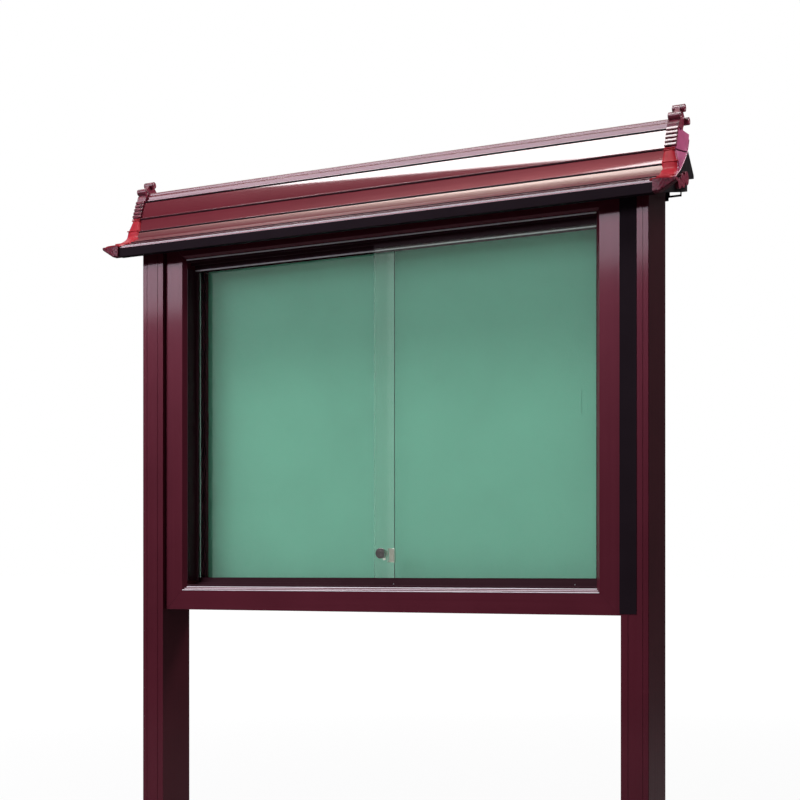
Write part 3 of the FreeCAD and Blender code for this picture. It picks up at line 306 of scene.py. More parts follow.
def float_glass(name, colour):
    """Clear float glass, smooth as it left the tin bath."""
    material, tree, place = blank_material(name)
    # Float glass waves over hundreds of millimetres, too little to blur what is behind it.
    wave = add(tree, "ShaderNodeTexNoise", {"Vector": place, "Scale": 3.0, "Detail": 1.0})
    bump = add(tree, "ShaderNodeBump", {"Height": wave.outputs["Fac"], "Strength": 0.02,
                                        "Distance": 0.0005})
    shader = add(tree, "ShaderNodeBsdfPrincipled", {
        "Base Color": linear(colour), "Roughness": 0.0, "IOR": 1.5,
        "Transmission Weight": 1.0, "Normal": bump.outputs[0]})
    add(tree, "ShaderNodeOutputMaterial", {"Surface": shader.outputs[0]})
    return material


# The materials made so far, by the finish that each one is.
MADE = {}


def finish(kind):
    """The material of a finish, made the first time it is asked for."""
    colours = bpy.context.scene.board_colours
    # Each is its maker, then what that maker takes, in order: a name, a colour and so on.
    finishes = {
        "maroon_extrusion": (
            enamel, "Satin maroon enamel on upright extrusions", colours.enamel, 0.33, UPRIGHT,
            0.25, 0.45, 0.09, 0.46, "#FF8FA6"),
        "maroon_lying": (
            enamel, "Satin maroon enamel on lying extrusions", colours.enamel, 0.33, LYING, 0.25,
            0.45, 0.09, 0.46, "#FF8FA6"),
        # The three roof finishes take the roof's enamel, lighter than the posts' as painted light.
        "maroon_roof": (
            enamel, "Glossy crimson enamel on roof runs", colours.enamel_roof_painted_light, 0.3, LYING, 0.05,
            1.0, 0.06, 0.1, "#FF7070", 1.62),
        "maroon_middle": (
            enamel, "Crimson enamel on the middle roof run", colours.enamel_roof_painted_light, 0.3, LYING, 0.05,
            1.0, 0.06, 0.4, "#FF8080"),
        "maroon_eave": (
            enamel, "Satin crimson enamel on the eave's panel", colours.enamel_roof_painted_light, 0.3, LYING,
            0.05, 0.2, 0.08, 0.7, "#FFE8D8"),
        # Painted shade: a dark copy of the enamel, nearly without gloss, for the fascia, soffit,
        # skirt, closing strip and the roof's shadow lines.
        "maroon_painted_shade": (
            enamel, "Dark enamel painted as shade on fascia and soffit", colours.enamel_painted_shade, 0.5, LYING, 0.1, 0.0,
            0.1, 0.02),
        # Painted shade: a darker copy of the enamel for the parts in the case's recess.
        "maroon_inner": (
            enamel, "Dark maroon enamel on tracks, painted shade in the recess", colours.enamel_inner_painted_shade, 0.4, LYING, 0.1, 0.0, 0.1,
            0.15),
        # Painted highlights: pale enamel on the lip and eave edges.
        "maroon_painted_highlight": (enamel, "Pale enamel painted as highlights on lip edges", colours.enamel_painted_highlight, 0.3, LYING, 0.05),
        "maroon_casting": (
            cast_enamel, "Maroon enamel on carved castings", colours.enamel_carved, 0.3, 330.0,
            0.0009, 0.12, 0.2),
        "maroon_scroll": (
            cast_enamel, "Maroon enamel on scrolls", colours.enamel_cast, 0.28, 150.0, 0.00012,
            0.6),
        # Painted light: the verge strips' red is brightened.
        "maroon_verge_painted_light": (
            cast_enamel, "Red enamel on verge strips, brightened as painted light", colours.enamel_verge_painted_light, 0.42, 120.0, 0.0001,
            0.05, 0.15, 0.8),
        # Painted reflection: the barge boards are lightened to mauve.
        "maroon_barge_painted_reflection": (
            cast_enamel, "Mauve-red enamel on barge boards", colours.enamel_barge_painted_reflection, 0.36, 90.0,
            0.00008, 0.2, 0.5, 0.8),
        # Painted shade: the gable webs take the dark enamel.
        "maroon_gable_painted_shade": (
            cast_enamel, "Dark enamel painted as shade on gable webs", colours.enamel_painted_shade, 0.6, 200.0, 0.0003, 0.0,
            0.1),
        "foot_steel": (enamel, "Maroon paint on galvanised steel", colours.enamel, 0.5, LYING, 0.1),
        "green_board": (board_sheet, "Green calendered pinning sheet", colours.board),
        "backing_board": (moulded_plastic, "Foamed backing board", colours.backing, 0.7),
        "plain_aluminium": (
            metal_surface, "Mill finish aluminium", "#C9C9CB", 0.42, 30.0, (0.2, 12.0, 12.0)),
        "zinc_steel": (
            metal_surface, "Bright zinc plated steel", "#C2C3C7", 0.3, 60.0, (1.0, 8.0, 8.0)),
        "lock_metal": (
            metal_surface, "Satin nickel plated brass", "#CFCBC4", 0.22, 90.0, (1.0, 10.0, 1.0)),
        "nylon": (moulded_plastic, "Moulded nylon", colours.nylon, 0.42),
        "clear_glass": (float_glass, "Clear float glass", colours.glass),
    }
    if kind not in MADE:
        maker, *given = finishes[kind]
        MADE[kind] = maker(*given)
    return MADE[kind]


def coated(obj, kind):
    """Gives an object one finish in place of any that it had."""
    obj.data.materials.clear()
    obj.data.materials.append(finish(kind))


def mesh_piece(name, mesh):
    """An object at the origin with the given mesh."""
    obj = bpy.data.objects.new(name, mesh)
    bpy.context.scene.collection.objects.link(obj)
    return obj


def flatten(obj):
    """Turns an object's modifiers into plain mesh."""
    bpy.context.view_layer.update()
    graph = bpy.context.evaluated_depsgraph_get()
    mesh = bpy.data.meshes.new_from_object(obj.evaluated_get(graph))
    old = obj.data
    obj.modifiers.clear()
    obj.data = mesh
    if old.users == 0:
        bpy.data.meshes.remove(old)
    return obj


def soften(obj, width, segments=2, limit=30.0):
    """Rounds the sharp edges a little, so that they catch the light as real ones do."""
    bevel = obj.modifiers.new("Softened edges", "BEVEL")
    bevel.width = width
    bevel.segments = segments
    bevel.limit_method = "ANGLE"
    bevel.angle_limit = math.radians(limit)
    bevel.use_clamp_overlap = True
    # Broad faces keep their own direction, so that only the rounding bends a reflection.
    level = obj.modifiers.new("Level faces", "WEIGHTED_NORMAL")
    level.weight = 100
    obj.data.shade_smooth()
    return flatten(obj)


def joined_copy(node, name):
    """A copy of a solid's mesh with its loose triangles joined into whole faces."""
    mesh = NODES[node].data.copy()
    mesh.name = name
    mesh.materials.clear()
    for kept in ("custom_normal", "sharp_edge", "sharp_face"):
        if kept in mesh.attributes:
            mesh.attributes.remove(mesh.attributes[kept])
    work = bmesh.new()
    work.from_mesh(mesh)
    bmesh.ops.remove_doubles(work, verts=work.verts, dist=2e-6)
    bmesh.ops.dissolve_limit(
        work, angle_limit=math.radians(0.6), verts=work.verts, edges=work.edges)
    work.to_mesh(mesh)
    work.free()
    return mesh_piece(name, mesh)


def settle(obj, *nodes, kind=None):
    """Gives a finished piece its material, its body and the solids that it stands for."""
    slot = SLOT_OF[nodes[0]]
    coated(obj, kind or slot)
    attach(obj, BODY_OF[nodes[0]])
    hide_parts(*nodes)
    return obj


def dress(node, width, limit=30.0, kind=None):
    """Replaces a solid with a copy of itself whose edges are softened."""
    piece = joined_copy(node, node + "_dressed")
    soften(piece, width, limit=limit)
    return settle(piece, node, kind=kind)


def paint(*nodes):
    """Keeps solids as they are and gives them their finish."""
    for node in nodes:
        coated(NODES[node], SLOT_OF[node])


def smooth_line(points, steps=10):
    """Points on a smooth line through the given ones."""
    ends = [points[0]] + list(points) + [points[-1]]
    made = []
    for index in range(1, len(ends) - 2):
        before, here, there, after = ends[index - 1:index + 3]
        for step in range(steps):
            t = step / steps
            made.append(tuple(
                0.5 * (2 * b + (c - a) * t + (2 * a - 5 * b + 4 * c - d) * t * t
                       + (3 * b - a - 3 * c + d) * t ** 3)
                for a, b, c, d in zip(before, here, there, after)))
    made.append(tuple(points[-1]))
    return made


def new_tree(name, **inputs):
    """A geometry node tree with named inputs, and the sockets that give them out."""
    tree = bpy.data.node_groups.new(name, "GeometryNodeTree")
    for label, kind in inputs.items():
        tree.interface.new_socket(label, in_out="INPUT", socket_type="NodeSocket" + kind)
    tree.interface.new_socket("Geometry", in_out="OUTPUT", socket_type="NodeSocketGeometry")
    return tree, add(tree, "NodeGroupInput").outputs


def close_tree(tree, shape, coat):
    """Ends a tree: its instances are made real and take their finish."""
    real = add(tree, "GeometryNodeRealizeInstances", {"Geometry": shape})
    done = add(tree, "GeometryNodeSetMaterial", {"Geometry": real.outputs[0], "Material": coat})
    add(tree, "NodeGroupOutput", {"Geometry": done.outputs[0]})
    return tree


def run_tree():
    """Node tree that draws a flat section out into a run along X."""
    tree, given = new_tree(
        "Section drawn into a run", Geometry="Geometry", Length="Float", Finish="Material")
    way = add(tree, "ShaderNodeCombineXYZ", {"X": given["Length"]})
    drawn = add(tree, "GeometryNodeExtrudeMesh", {
        "Mesh": given["Geometry"], "Offset": way.outputs[0], "Offset Scale": 1.0,
        "Individual": False})
    near = add(tree, "GeometryNodeFlipFaces", {"Mesh": given["Geometry"]})
    both = add(tree, "GeometryNodeJoinGeometry")
    tree.links.new(drawn.outputs["Mesh"], both.inputs[0])
    tree.links.new(near.outputs[0], both.inputs[0])
    whole = add(tree, "GeometryNodeMergeByDistance", {"Geometry": both.outputs[0],
                                                      "Distance": 1e-6})
    return close_tree(tree, whole.outputs[0], given["Finish"])


def rolls_tree():
    """Node tree that sets rolls along a straight row, each roll lying along X."""
    tree, given = new_tree(
        "Rolls in a row", Count="Int", First="Vector", Step="Vector", Radius="Float",
        Length="Float", Finish="Material")
    row = add(tree, "GeometryNodeMeshLine", {
        "Count": given["Count"], "Start Location": given["First"], "Offset": given["Step"]},
        mode="OFFSET")
    roll = add(tree, "GeometryNodeMeshCylinder", {
        "Vertices": 40, "Radius": given["Radius"], "Depth": given["Length"]})
    spots = add(tree, "GeometryNodeInstanceOnPoints", {
        "Points": row.outputs[0], "Instance": roll.outputs["Mesh"],
        "Rotation": (0.0, math.pi / 2, 0.0)})
    return close_tree(tree, spots.outputs[0], given["Finish"])


def bead_tree():
    """Node tree that lays a round bead along the edges of a line mesh."""
    tree, given = new_tree(
        "Bead along a line", Geometry="Geometry", Radius="Float", Finish="Material")
    path = add(tree, "GeometryNodeMeshToCurve", {"Mesh": given["Geometry"]})
    ring = add(tree, "GeometryNodeCurvePrimitiveCircle", {
        "Resolution": 10, "Radius": given["Radius"]})
    tube = add(tree, "GeometryNodeCurveToMesh", {
        "Curve": path.outputs[0], "Profile Curve": ring.outputs["Curve"], "Fill Caps": True})
    return close_tree(tree, tube.outputs[0], given["Finish"])


def grown(name, mesh, tree, **values):
    """A plain mesh grown by a node tree, whose inputs are set by their own names."""
    obj = mesh_piece(name, mesh or bpy.data.meshes.new(name))
    modifier = obj.modifiers.new("Grown", "NODES")
    modifier.node_group = tree
    for item in tree.interface.items_tree:
        if item.in_out == "INPUT" and item.name in values:
            modifier[item.identifier] = values[item.name]
    return flatten(obj)


def section_mesh(name, x, *outlines):
    """Flat faces in the plane across X, one for each outline of points given as (y, z)."""
    work = bmesh.new()
    for outline in outlines:
        face = work.faces.new([work.verts.new((x, y, z)) for y, z in outline])
        face.normal_update()
        if face.normal.x < 0:
            face.normal_flip()
    mesh = bpy.data.meshes.new(name)
    work.to_mesh(mesh)
    work.free()
    return mesh


def loft(name, rings):
    """A closed skin through rings of equally many points, filled at both ends."""
    work = bmesh.new()
    loops = [[work.verts.new(point) for point in ring] for ring in rings]
    count = len(rings[0])
    for near, far in zip(loops, loops[1:]):
        for index in range(count):
            after = (index + 1) % count
            work.faces.new((near[index], near[after], far[after], far[index]))
    work.faces.new(list(reversed(loops[0])))
    work.faces.new(loops[-1])
    bmesh.ops.remove_doubles(work, verts=work.verts, dist=1e-6)
    bmesh.ops.recalc_face_normals(work, faces=work.faces)
    mesh = bpy.data.meshes.new(name)
    work.to_mesh(mesh)
    work.free()
    return mesh_piece(name, mesh)


def line_mesh(name, points):
    """Edges from point to point, for a bead to follow."""
    mesh = bpy.data.meshes.new(name)
    mesh.from_pydata(points, [(i, i + 1) for i in range(len(points) - 1)], [])
    return mesh


def merged(name, pieces):
    """Joins pieces into one mesh."""
    work = bmesh.new()
    for piece in pieces:
        work.from_mesh(piece.data)
    mesh = bpy.data.meshes.new(name)
    work.to_mesh(mesh)
    work.free()
    for piece in pieces:
        old = piece.data
        bpy.data.objects.remove(piece)
        if old.users == 0:
            bpy.data.meshes.remove(old)
    obj = mesh_piece(name, mesh)
    obj.data.shade_smooth()
    obj.data.set_sharp_from_angle(angle=math.radians(38))
    return obj


# The front edge of the roof's ends and the lower edge of their barge boards, as (y, z)
# in millimetres from the ridge down to the eave.
VERGE = [(-23, 2021), (-42, 1968), (-53, 1929), (-61, 1906), (-106, 1881), (-140, 1872)]
BARGE_FOOT = [(66, 2021), (53, 1980), (21, 1943), (-18, 1910), (-66, 1886), (-116, 1866)]
# The saddle that carries the front roll, as (y, z) in millimetres.
SADDLE = [(-20, 2019), (-19, 2028), (-15, 2036), (-8, 2041), (5, 2041), (8, 2019)]
# Middles of the finial's three rolls, as (y, z), and where along X the beads wind in their
# ends, in millimetres.
ROLL_MIDDLES = ((-9.3, 2048.6), (23.0, 2074.0), (55.2, 2050.5))
ROLL_FACES = (778.6, 807.4)
# Shares of the way down the verge: the strip's three lengths, the bands across it, and the
# barge board's two castings.
STRIP_LENGTHS = ((0.25, 0.395), (0.408, 0.755), (0.768, 1.0))
BAND_PLACES = (0.215, 0.24, 0.401, 0.761)
BARGE_CASTINGS = (("upper", 0.0, 0.22), ("lower", 0.24, 1.0))
# How far the verge stands out at a height: (z, outward) in millimetres.
FLARE = [(1958, 0), (1942, 5), (1929, 10), (1906, 13), (1885, 18), (1870, 24)]


def metres(points):
    """Points in millimetres turned to metres."""
    return [tuple(value * MM for value in point) for point in points]


def flare_at(z):
    """How far the verge stands out at a height, in millimetres."""
    if z >= FLARE[0][0]:
        return FLARE[0][1]
    for (high, near), (low, far) in zip(FLARE, FLARE[1:]):
        if z >= low:
            return near + (far - near) * (high - z) / (high - low)
    return FLARE[-1][1]


def outward(path, index):
    """The way out of the roof, square to a path given as (y, z) from ridge to eave."""
    before, after = path[max(index - 1, 0)], path[min(index + 1, len(path) - 1)]
    way = Vector((after[0] - before[0], after[1] - before[1])).normalized()
    return way.y, -way.x


def bowed(near, far, bulge, steps=12):
    """Points from one (y, z) to another on a shallow arc that bulges outwards."""
    out = outward([near, far], 0)
    made = []
    for step in range(steps + 1):
        share = step / steps
        lift = bulge * 4 * share * (1 - share)
        made.append(tuple(near[axis] + (far[axis] - near[axis]) * share + out[axis] * lift
                          for axis in (0, 1)))
    return made


def ring_line(centre, radius, turns, x, steps=40):
    """Points of a spiral across X that winds in from a radius to a third of it."""
    made = []
    for step in range(steps + 1):
        share = step / steps
        angle = turns * 2 * math.pi * share
        reach = radius * (1 - 0.68 * share)
        made.append((x, centre[0] + reach * math.cos(angle), centre[1] + reach * math.sin(angle)))
    return made


def softbox(name, first, last, high, aim, bright, tint):
    """A lamp with a lower edge between two points, raised upwards from it, facing the aim."""
    along = (last - first).normalized()
    back = (first + last) / 2 - aim
    back = (back - back.dot(along) * along).normalized()
    up = back.cross(along)
    if up.z < 0:
        along, up = -along, -up
    wide = (last - first).length
    lamp = bpy.data.lights.new(name, "AREA")
    lamp.shape = "RECTANGLE"
    lamp.size = wide
    lamp.size_y = high
    lamp.color = linear(tint)[:3]
    lamp.energy = bright * math.pi * wide * high
    obj = bpy.data.objects.new(name, lamp)
    obj.location = (first + last) / 2 + up * high / 2
    obj.rotation_euler = Matrix((along, up, back)).transposed().to_euler()
    bpy.context.scene.collection.objects.link(obj)
    return obj


class BOARD_OT_stage(bpy.types.Operator):
    """Sets the floor, the world, the lamps and the camera"""

    bl_idname = "board.stage"
    bl_label = "Stage"

    def execute(self, context):
        sizes = context.scene.board_stage
        context.scene.view_settings.view_transform = "Standard"
        half = sizes.floor_half
        mesh = bpy.data.meshes.new("floor")
        mesh.from_pydata(
            [(-half, -half, 0), (half, -half, 0), (half, half, 0), (-half, half, 0)],
            [], [(0, 1, 2, 3)])
        floor = mesh_piece("floor", mesh)
        material, tree, place = blank_material("Pale plain floor")
        path = add(tree, "ShaderNodeLightPath")
        # The floor shows white, paler with the distance, and still takes the object's shadow.
        matt = add(tree, "ShaderNodeBsdfDiffuse", {"Color": linear("#767676")})
        away = add(tree, "ShaderNodeVectorMath", {0: place}, operation="LENGTH")
        paler = add(tree, "ShaderNodeMapRange", {
            "Value": away.outputs["Value"], "From Min": 2.0, "From Max": 9.0,
            "To Min": 0.8, "To Max": 1.0})
        seen = add(tree, "ShaderNodeMath", {0: path.outputs["Is Camera Ray"],
                                            1: path.outputs["Is Transmission Ray"]},
                   operation="MAXIMUM")
        share = add(tree, "ShaderNodeMath", {0: seen.outputs[0], 1: paler.outputs[0]},
                    operation="MULTIPLY")
        pale = add(tree, "ShaderNodeEmission", {"Color": (1.0, 1.0, 1.0, 1.0),
                                                "Strength": share.outputs[0]})
        both = add(tree, "ShaderNodeAddShader", {0: matt.outputs[0], 1: pale.outputs[0]})
        add(tree, "ShaderNodeOutputMaterial", {"Surface": both.outputs[0]})
        floor.data.materials.append(material)

        world = bpy.data.worlds.new("Plain studio")
        context.scene.world = world
        world.use_nodes = True
        tree = world.node_tree
        tree.nodes.clear()
        path = add(tree, "ShaderNodeLightPath")
        clear = add(tree, "ShaderNodeMath", {0: path.outputs["Is Camera Ray"],
                                             1: path.outputs["Is Transmission Ray"]},
                    operation="MAXIMUM")
        # Gloss sees the white backdrop behind and above, and a dim room in front.
        way = add(tree, "ShaderNodeTexCoord").outputs["Generated"]
        parts = add(tree, "ShaderNodeSeparateXYZ", {"Vector": way})
        behind = add(tree, "ShaderNodeMapRange", {
            "Value": parts.outputs["Y"], "From Min": -0.1, "From Max": 0.3})
        risen = add(tree, "ShaderNodeMapRange", {
            "Value": parts.outputs["Z"], "From Min": 0.3, "From Max": 0.5})
        back = add(tree, "ShaderNodeMath", {0: behind.outputs[0], 1: risen.outputs[0]},
                   operation="MULTIPLY")
        above = add(tree, "ShaderNodeMapRange", {
            "Value": parts.outputs["Z"], "From Min": 0.8, "From Max": 0.93})
        bright = add(tree, "ShaderNodeMath", {0: back.outputs[0], 1: above.outputs[0]},
                     operation="MAXIMUM")
        room = add(tree, "ShaderNodeMapRange", {"Value": bright.outputs[0], "To Min": 0.03,
                                                "To Max": 1.0})
        glossy = add(tree, "ShaderNodeMath", {0: path.outputs["Is Glossy Ray"],
                                              1: room.outputs[0]}, operation="MULTIPLY")
        other = add(tree, "ShaderNodeMath", {0: 1.0, 1: path.outputs["Is Glossy Ray"]},
                    operation="SUBTRACT")
        lit = add(tree, "ShaderNodeMath", {0: other.outputs[0], 1: sizes.fill},
                  operation="MULTIPLY")
        dim = add(tree, "ShaderNodeMath", {0: glossy.outputs[0], 1: lit.outputs[0]},
                  operation="ADD")
        level = add(tree, "ShaderNodeMath", {0: dim.outputs[0], 1: clear.outputs[0]},
                    operation="MAXIMUM")
        white = add(tree, "ShaderNodeBackground", {"Color": (1.0, 1.0, 1.0, 1.0),
                                                   "Strength": level.outputs[0]})
        add(tree, "ShaderNodeOutputWorld", {"Surface": white.outputs[0]})

        # The panes take no part in three of the softboxes, as behind a polarising filter. The
        # fourth, flagged and on the right, reaches the cast ends of the roof and nothing else.
        panes = bpy.data.collections.new("Filtered panes")
        gables = bpy.data.collections.new("Lit gables")
        for name, first, last, high, aim, bright, tint, held in (
            ("High softbox", (-0.681, -3.954, 6.334), (-4.216, -2.287, 6.389), 1.5,
             (0.1, -0.05, 1.99), sizes.key, "#FFFFFF", panes),
            ("Front softbox", (-0.92, -6.23, 3.015), (-5.18, -5.01, 2.705), 1.9,
             (0.0, 0.0, 1.6), sizes.front, "#F8F0FF", panes),
            ("Rear softbox", (0.2, 3.4, 4.8), (3.4, 3.0, 4.8), 1.4,
             (0.0, 0.08, 1.5), sizes.rear, "#FFFFFF", panes),
            ("Gable softbox", (3.2, 0.5, 3.1), (3.2, 1.9, 3.1), 1.4,
             (0.8, 0.0, 1.95), sizes.gable, "#FFF6FA", gables),
        ):
            lamp = softbox(name, Vector(first), Vector(last), high, Vector(aim), bright, tint)
            lamp.light_linking.receiver_collection = held

        data = bpy.data.cameras.new("Camera")
        data.sensor_width = 36.0
        data.lens = sizes.lens
        data.shift_y = sizes.rise
        camera = bpy.data.objects.new("Camera", data)
        camera.location = sizes.eye
        camera.rotation_euler = (math.pi / 2, 0.0, sizes.turn)
        context.scene.collection.objects.link(camera)
        context.scene.camera = camera
        return {"FINISHED"}


class BOARD_OT_case(bpy.types.Operator):
    """Dresses the posts, their foot plates and the mitred frame between them"""

    bl_idname = "board.case"
    bl_label = "Posts and frame"

    def execute(self, context):
        width = context.scene.board_edges.extrusion
        for name, _side in ENDS:
            dress(f"post_{name}", width)
            dress(f"foot_plate_{name}", width * 2)
            dress(f"frame_stile_{name}", width)
        dress("frame_sill", width, kind="maroon_lying")
        dress("frame_head", width, kind="maroon_lying")
        dress("frame_packers", width)
        # The closing strip takes the dark enamel: painted shade down the inner part of the right
        # post.
        dress("closing_strip_right", width * 0.6, kind="maroon_painted_shade")
        return {"FINISHED"}


class BOARD_OT_board(bpy.types.Operator):
    """Finishes the green board and what is built up behind it"""

    bl_idname = "board.board"
    bl_label = "Notice face and back"

    def execute(self, context):
        paint("display_board", "backing_board", "back_battens", "corner_keys", "frame_bolts")
        dress("back_panel", context.scene.board_edges.extrusion * 0.5)
        dress("back_screws", context.scene.board_edges.extrusion)
        return {"FINISHED"}


class BOARD_OT_tracks(bpy.types.Operator):
    """Dresses the tracks and the upright linings that the doors run in"""

    bl_idname = "board.tracks"
    bl_label = "Tracks and linings"

    def execute(self, context):
        width = context.scene.board_edges.extrusion * 0.6
        # The tracks and linings take the darker inner enamel, painted shade in the recess.
        for node in ("sill_track", "head_track", "jamb_left", "jamb_right"):
            dress(node, width)
        return {"FINISHED"}


class BOARD_OT_doors(bpy.types.Operator):
    """Dresses the glass doors with their shoes, guides and rollers"""

    bl_idname = "board.doors"
    bl_label = "Glass doors"

    def execute(self, context):
        edges = context.scene.board_edges
        filtered = bpy.data.collections["Filtered panes"]
        for name, _side in ENDS:
            pane = dress(f"door_glass_{name}", edges.glass)
            # The pane lets the lamps through, as clear glass does.
            pane.visible_shadow = False
            filtered.objects.link(pane)
            dress(f"door_shoe_{name}", edges.extrusion * 0.5)
            dress(f"door_guide_{name}", edges.extrusion * 0.5)
            paint(f"roller_pins_{name}", f"roller_{name}_1", f"roller_{name}_2")
        for held in filtered.collection_objects:
            held.light_linking.link_state = "EXCLUDE"
        return {"FINISHED"}


class BOARD_OT_lock(bpy.types.Operator):
    """Dresses the cylinder lock, its cam and the keeper"""

    bl_idname = "board.lock"
    bl_label = "Lock"

    def execute(self, context):
        width = context.scene.board_edges.extrusion
        for node in ("lock_body", "lock_nut", "lock_plug", "lock_cam", "lock_keeper"):
            dress(node, width * 0.7)
        return {"FINISHED"}


# The roof's panels as (node, finish, points down the slope, bulge of each face between
# them), with points as (y, z) in millimetres. A bulge far below a millimetre is enough to
# slant the edge of a reflection.
# The panels' enamel is lighter than the posts' as painted light.
PANELS = (
    ("roof_panel_upper", "maroon_roof", ((-19, 2019), (-38, 1966)), (0.55,)),
    ("roof_panel_middle", "maroon_middle", ((-38, 1966), (-49, 1927)), (-0.45,)),
    ("roof_panel_lower", "maroon_eave", ((-49, 1927), (-57, 1904), (-102, 1877)), (0.5, 0.2)),
)
# The fine lines drawn along the roof at its steps, as (y, z) and radius in millimetres.
ROOF_LINES = (
    ((-38.2, 1966.2), 1.0), ((-49.2, 1927.2), 0.9), ((-91.0, 1884.4), 1.0),
    ((-104.5, 1877.6), 1.2), ((-122.0, 1872.8), 1.2),
)
# Painted shadow lines along the roof, as dark beads: under the ridge cap, at the steps and along
# the eave.
ROOF_SHADOW_LINES = (
    ((-20.5, 2015.6), 2.4), ((-39.3, 1962.6), 1.4), ((-49.9, 1924.0), 2.0),
    ((-84.5, 1888.3), 1.6), ((-97.5, 1880.8), 1.6), ((-113.0, 1875.8), 1.8),
)
# Painted highlights along the edges of the eave and of the case's lips, as pale beads: (y, z),
# radius and half the length in millimetres.
LIP_HIGHLIGHTS = (
    ((-134.8, 1867.8), 0.8, ROOF_END), ((-50.5, 1829.0), 2.0, 609), ((-9.0, 1805.0), 2.0, 609),
    ((-57.4, 904.6), 1.5, 619), ((-53.1, 908.9), 1.1, 614), ((-48.8, 913.2), 1.5, 610),
)


class BOARD_OT_roof(bpy.types.Operator):
    """Makes the roof's runs: bowed panels, mouldings, ridge cap, fascia and soffit"""

    bl_idname = "board.roof"
    bl_label = "Roof runs"

    def execute(self, context):
        width = context.scene.board_edges.roof
        run, bead = run_tree(), bead_tree()
        for node, kind, knots, bulges in PANELS:
            low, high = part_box(node)
            front = [knots[0]]
            for near, far, bulge in zip(knots, knots[1:], bulges):
                front += bowed(near, far, bulge)[1:]
            back = []
            for index in reversed(range(len(knots))):
                out = outward(knots, index)
                back.append((knots[index][0] - out[0] * 2.6, knots[index][1] - out[1] * 2.6))
            panel = grown(
                node + "_run", section_mesh(node, low.x, metres(front + back)), run,
                Length=high.x - low.x, Finish=finish(kind))
            settle(merged(node + "_dressed", [panel]), node, kind=kind)
        for node in ("roof_panel_rear", "ridge_cap"):
            dress(node, width, limit=20.0)
        # Fascia, soffit and rear skirt take the dark enamel: painted shade under the eave.
        for node in ("fascia", "soffit_front", "rear_skirt"):
            dress(node, width, limit=20.0, kind="maroon_painted_shade")
        eave = joined_copy("eave_moulding", "eave")
        soften(eave, width * 0.5, limit=20.0)
        low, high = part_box("eave_moulding")
        lines = [
            grown("line", line_mesh("line", [(low.x, y * MM, z * MM), (high.x, y * MM, z * MM)]),
                  bead, Radius=radius * MM, Finish=finish("maroon_roof"))
            for (y, z), radius in ROOF_LINES]
        settle(merged("eave_moulding_dressed", [eave, *lines]), "eave_moulding")
        paint("ridge_deck", "roof_base", "roof_brackets")
        return {"FINISHED"}


class BOARD_OT_lines(bpy.types.Operator):
    """Draws the fine lines: painted shadow lines along the roof and painted highlights on the eave
    and the case's lips
    """

    bl_idname = "board.lines"
    bl_label = "Painted shadow lines and highlights"

    def execute(self, context):
        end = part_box("roof_panel_upper")[1].x / MM
        shadow_lines = [(spot, radius, end) for spot, radius in ROOF_SHADOW_LINES]
        bead = bead_tree()
        # Dark beads in the dark enamel are painted shadow lines; pale beads are painted highlights.
        for name, kind, lines in (("roof_painted_shadow_lines", "maroon_painted_shade", shadow_lines),
                                  ("lip_painted_highlights", "maroon_painted_highlight", LIP_HIGHLIGHTS)):
            parts = [
                grown("line", line_mesh("line", metres([(-half, y, z), (half, y, z)])), bead,
                      Radius=radius * MM, Finish=finish(kind))
                for (y, z), radius, half in lines]
            piece = merged(name, parts)
            coated(piece, kind)
            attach(piece, "cabinet")
        return {"FINISHED"}


def steps_between(path, first, last):
    """Indices of a path's points between two shares of the way along it."""
    count = len(path) - 1
    return range(round(first * count), round(last * count) + 1)


def strip_rings(side, lap, first, last):
    """Rings of the crowned strip that runs down a verge, between two shares of the way."""
    path = smooth_line(VERGE)
    rings = []
    for index in steps_between(path, first, last):
        y, z = path[index]
        out = outward(path, index)
        far = BARGE_FACE + flare_at(z)
        near = ROOF_END - lap / MM - min(4.0, flare_at(z) * 0.4)
        ring = []
        for step in range(9):
            across = step / 8
            lift = -4.0 * abs(2 * across - 1) ** 6 - 1.2 * across ** 4
            ring.append((near + (far - near) * across, lift))
        ring += [(far, -6.5), (near, -5.5)]
        rings.append([(side * x * MM, (y + out[0] * n) * MM, (z + out[1] * n) * MM)
                      for x, n in ring])
    return rings


def barge_rings(side, first, last):
    """Rings of the crescent casting between the verge and its foot, flaring at the eave."""
    top, foot = smooth_line(VERGE), smooth_line(BARGE_FOOT)
    rings = []
    for index in steps_between(top, first, last):
        (y, z), (foot_y, foot_z) = top[index], foot[index]
        out = outward(top, index)
        flare = flare_at(z)
        y, z = y - out[0] * 3.0, z - out[1] * 3.0
        ring = []
        for step in range(7):
            down = step / 6
            hollow = 1.6 * math.sin(math.pi * down)
            ring.append((BARGE_FACE - 0.4 + (flare - 0.6) * (1 - down) ** 2 - hollow,
                         y + (foot_y - y) * down, z + (foot_z - z) * down))
        ring += [(WEB_FACE + 1, foot_y, foot_z), (WEB_FACE + 1, y, z)]
        rings.append([(side * x * MM, a * MM, b * MM) for x, a, b in ring])
    return rings


def gable_outline():
    """The gable web's outline, set back behind the strip that runs down its front edge."""
    front = []
    for index, (y, z) in enumerate(VERGE):
        out = outward(VERGE, index)
        front.append((y - out[0] * 7, z - out[1] * 7))
    front[0] = (front[0][0], VERGE[0][1])
    return front + [(-120, 1862), (-120, 1841), (88, 1888), (88, 1918), (141, 1931),
                    (141, 1939), (65, 2021)]


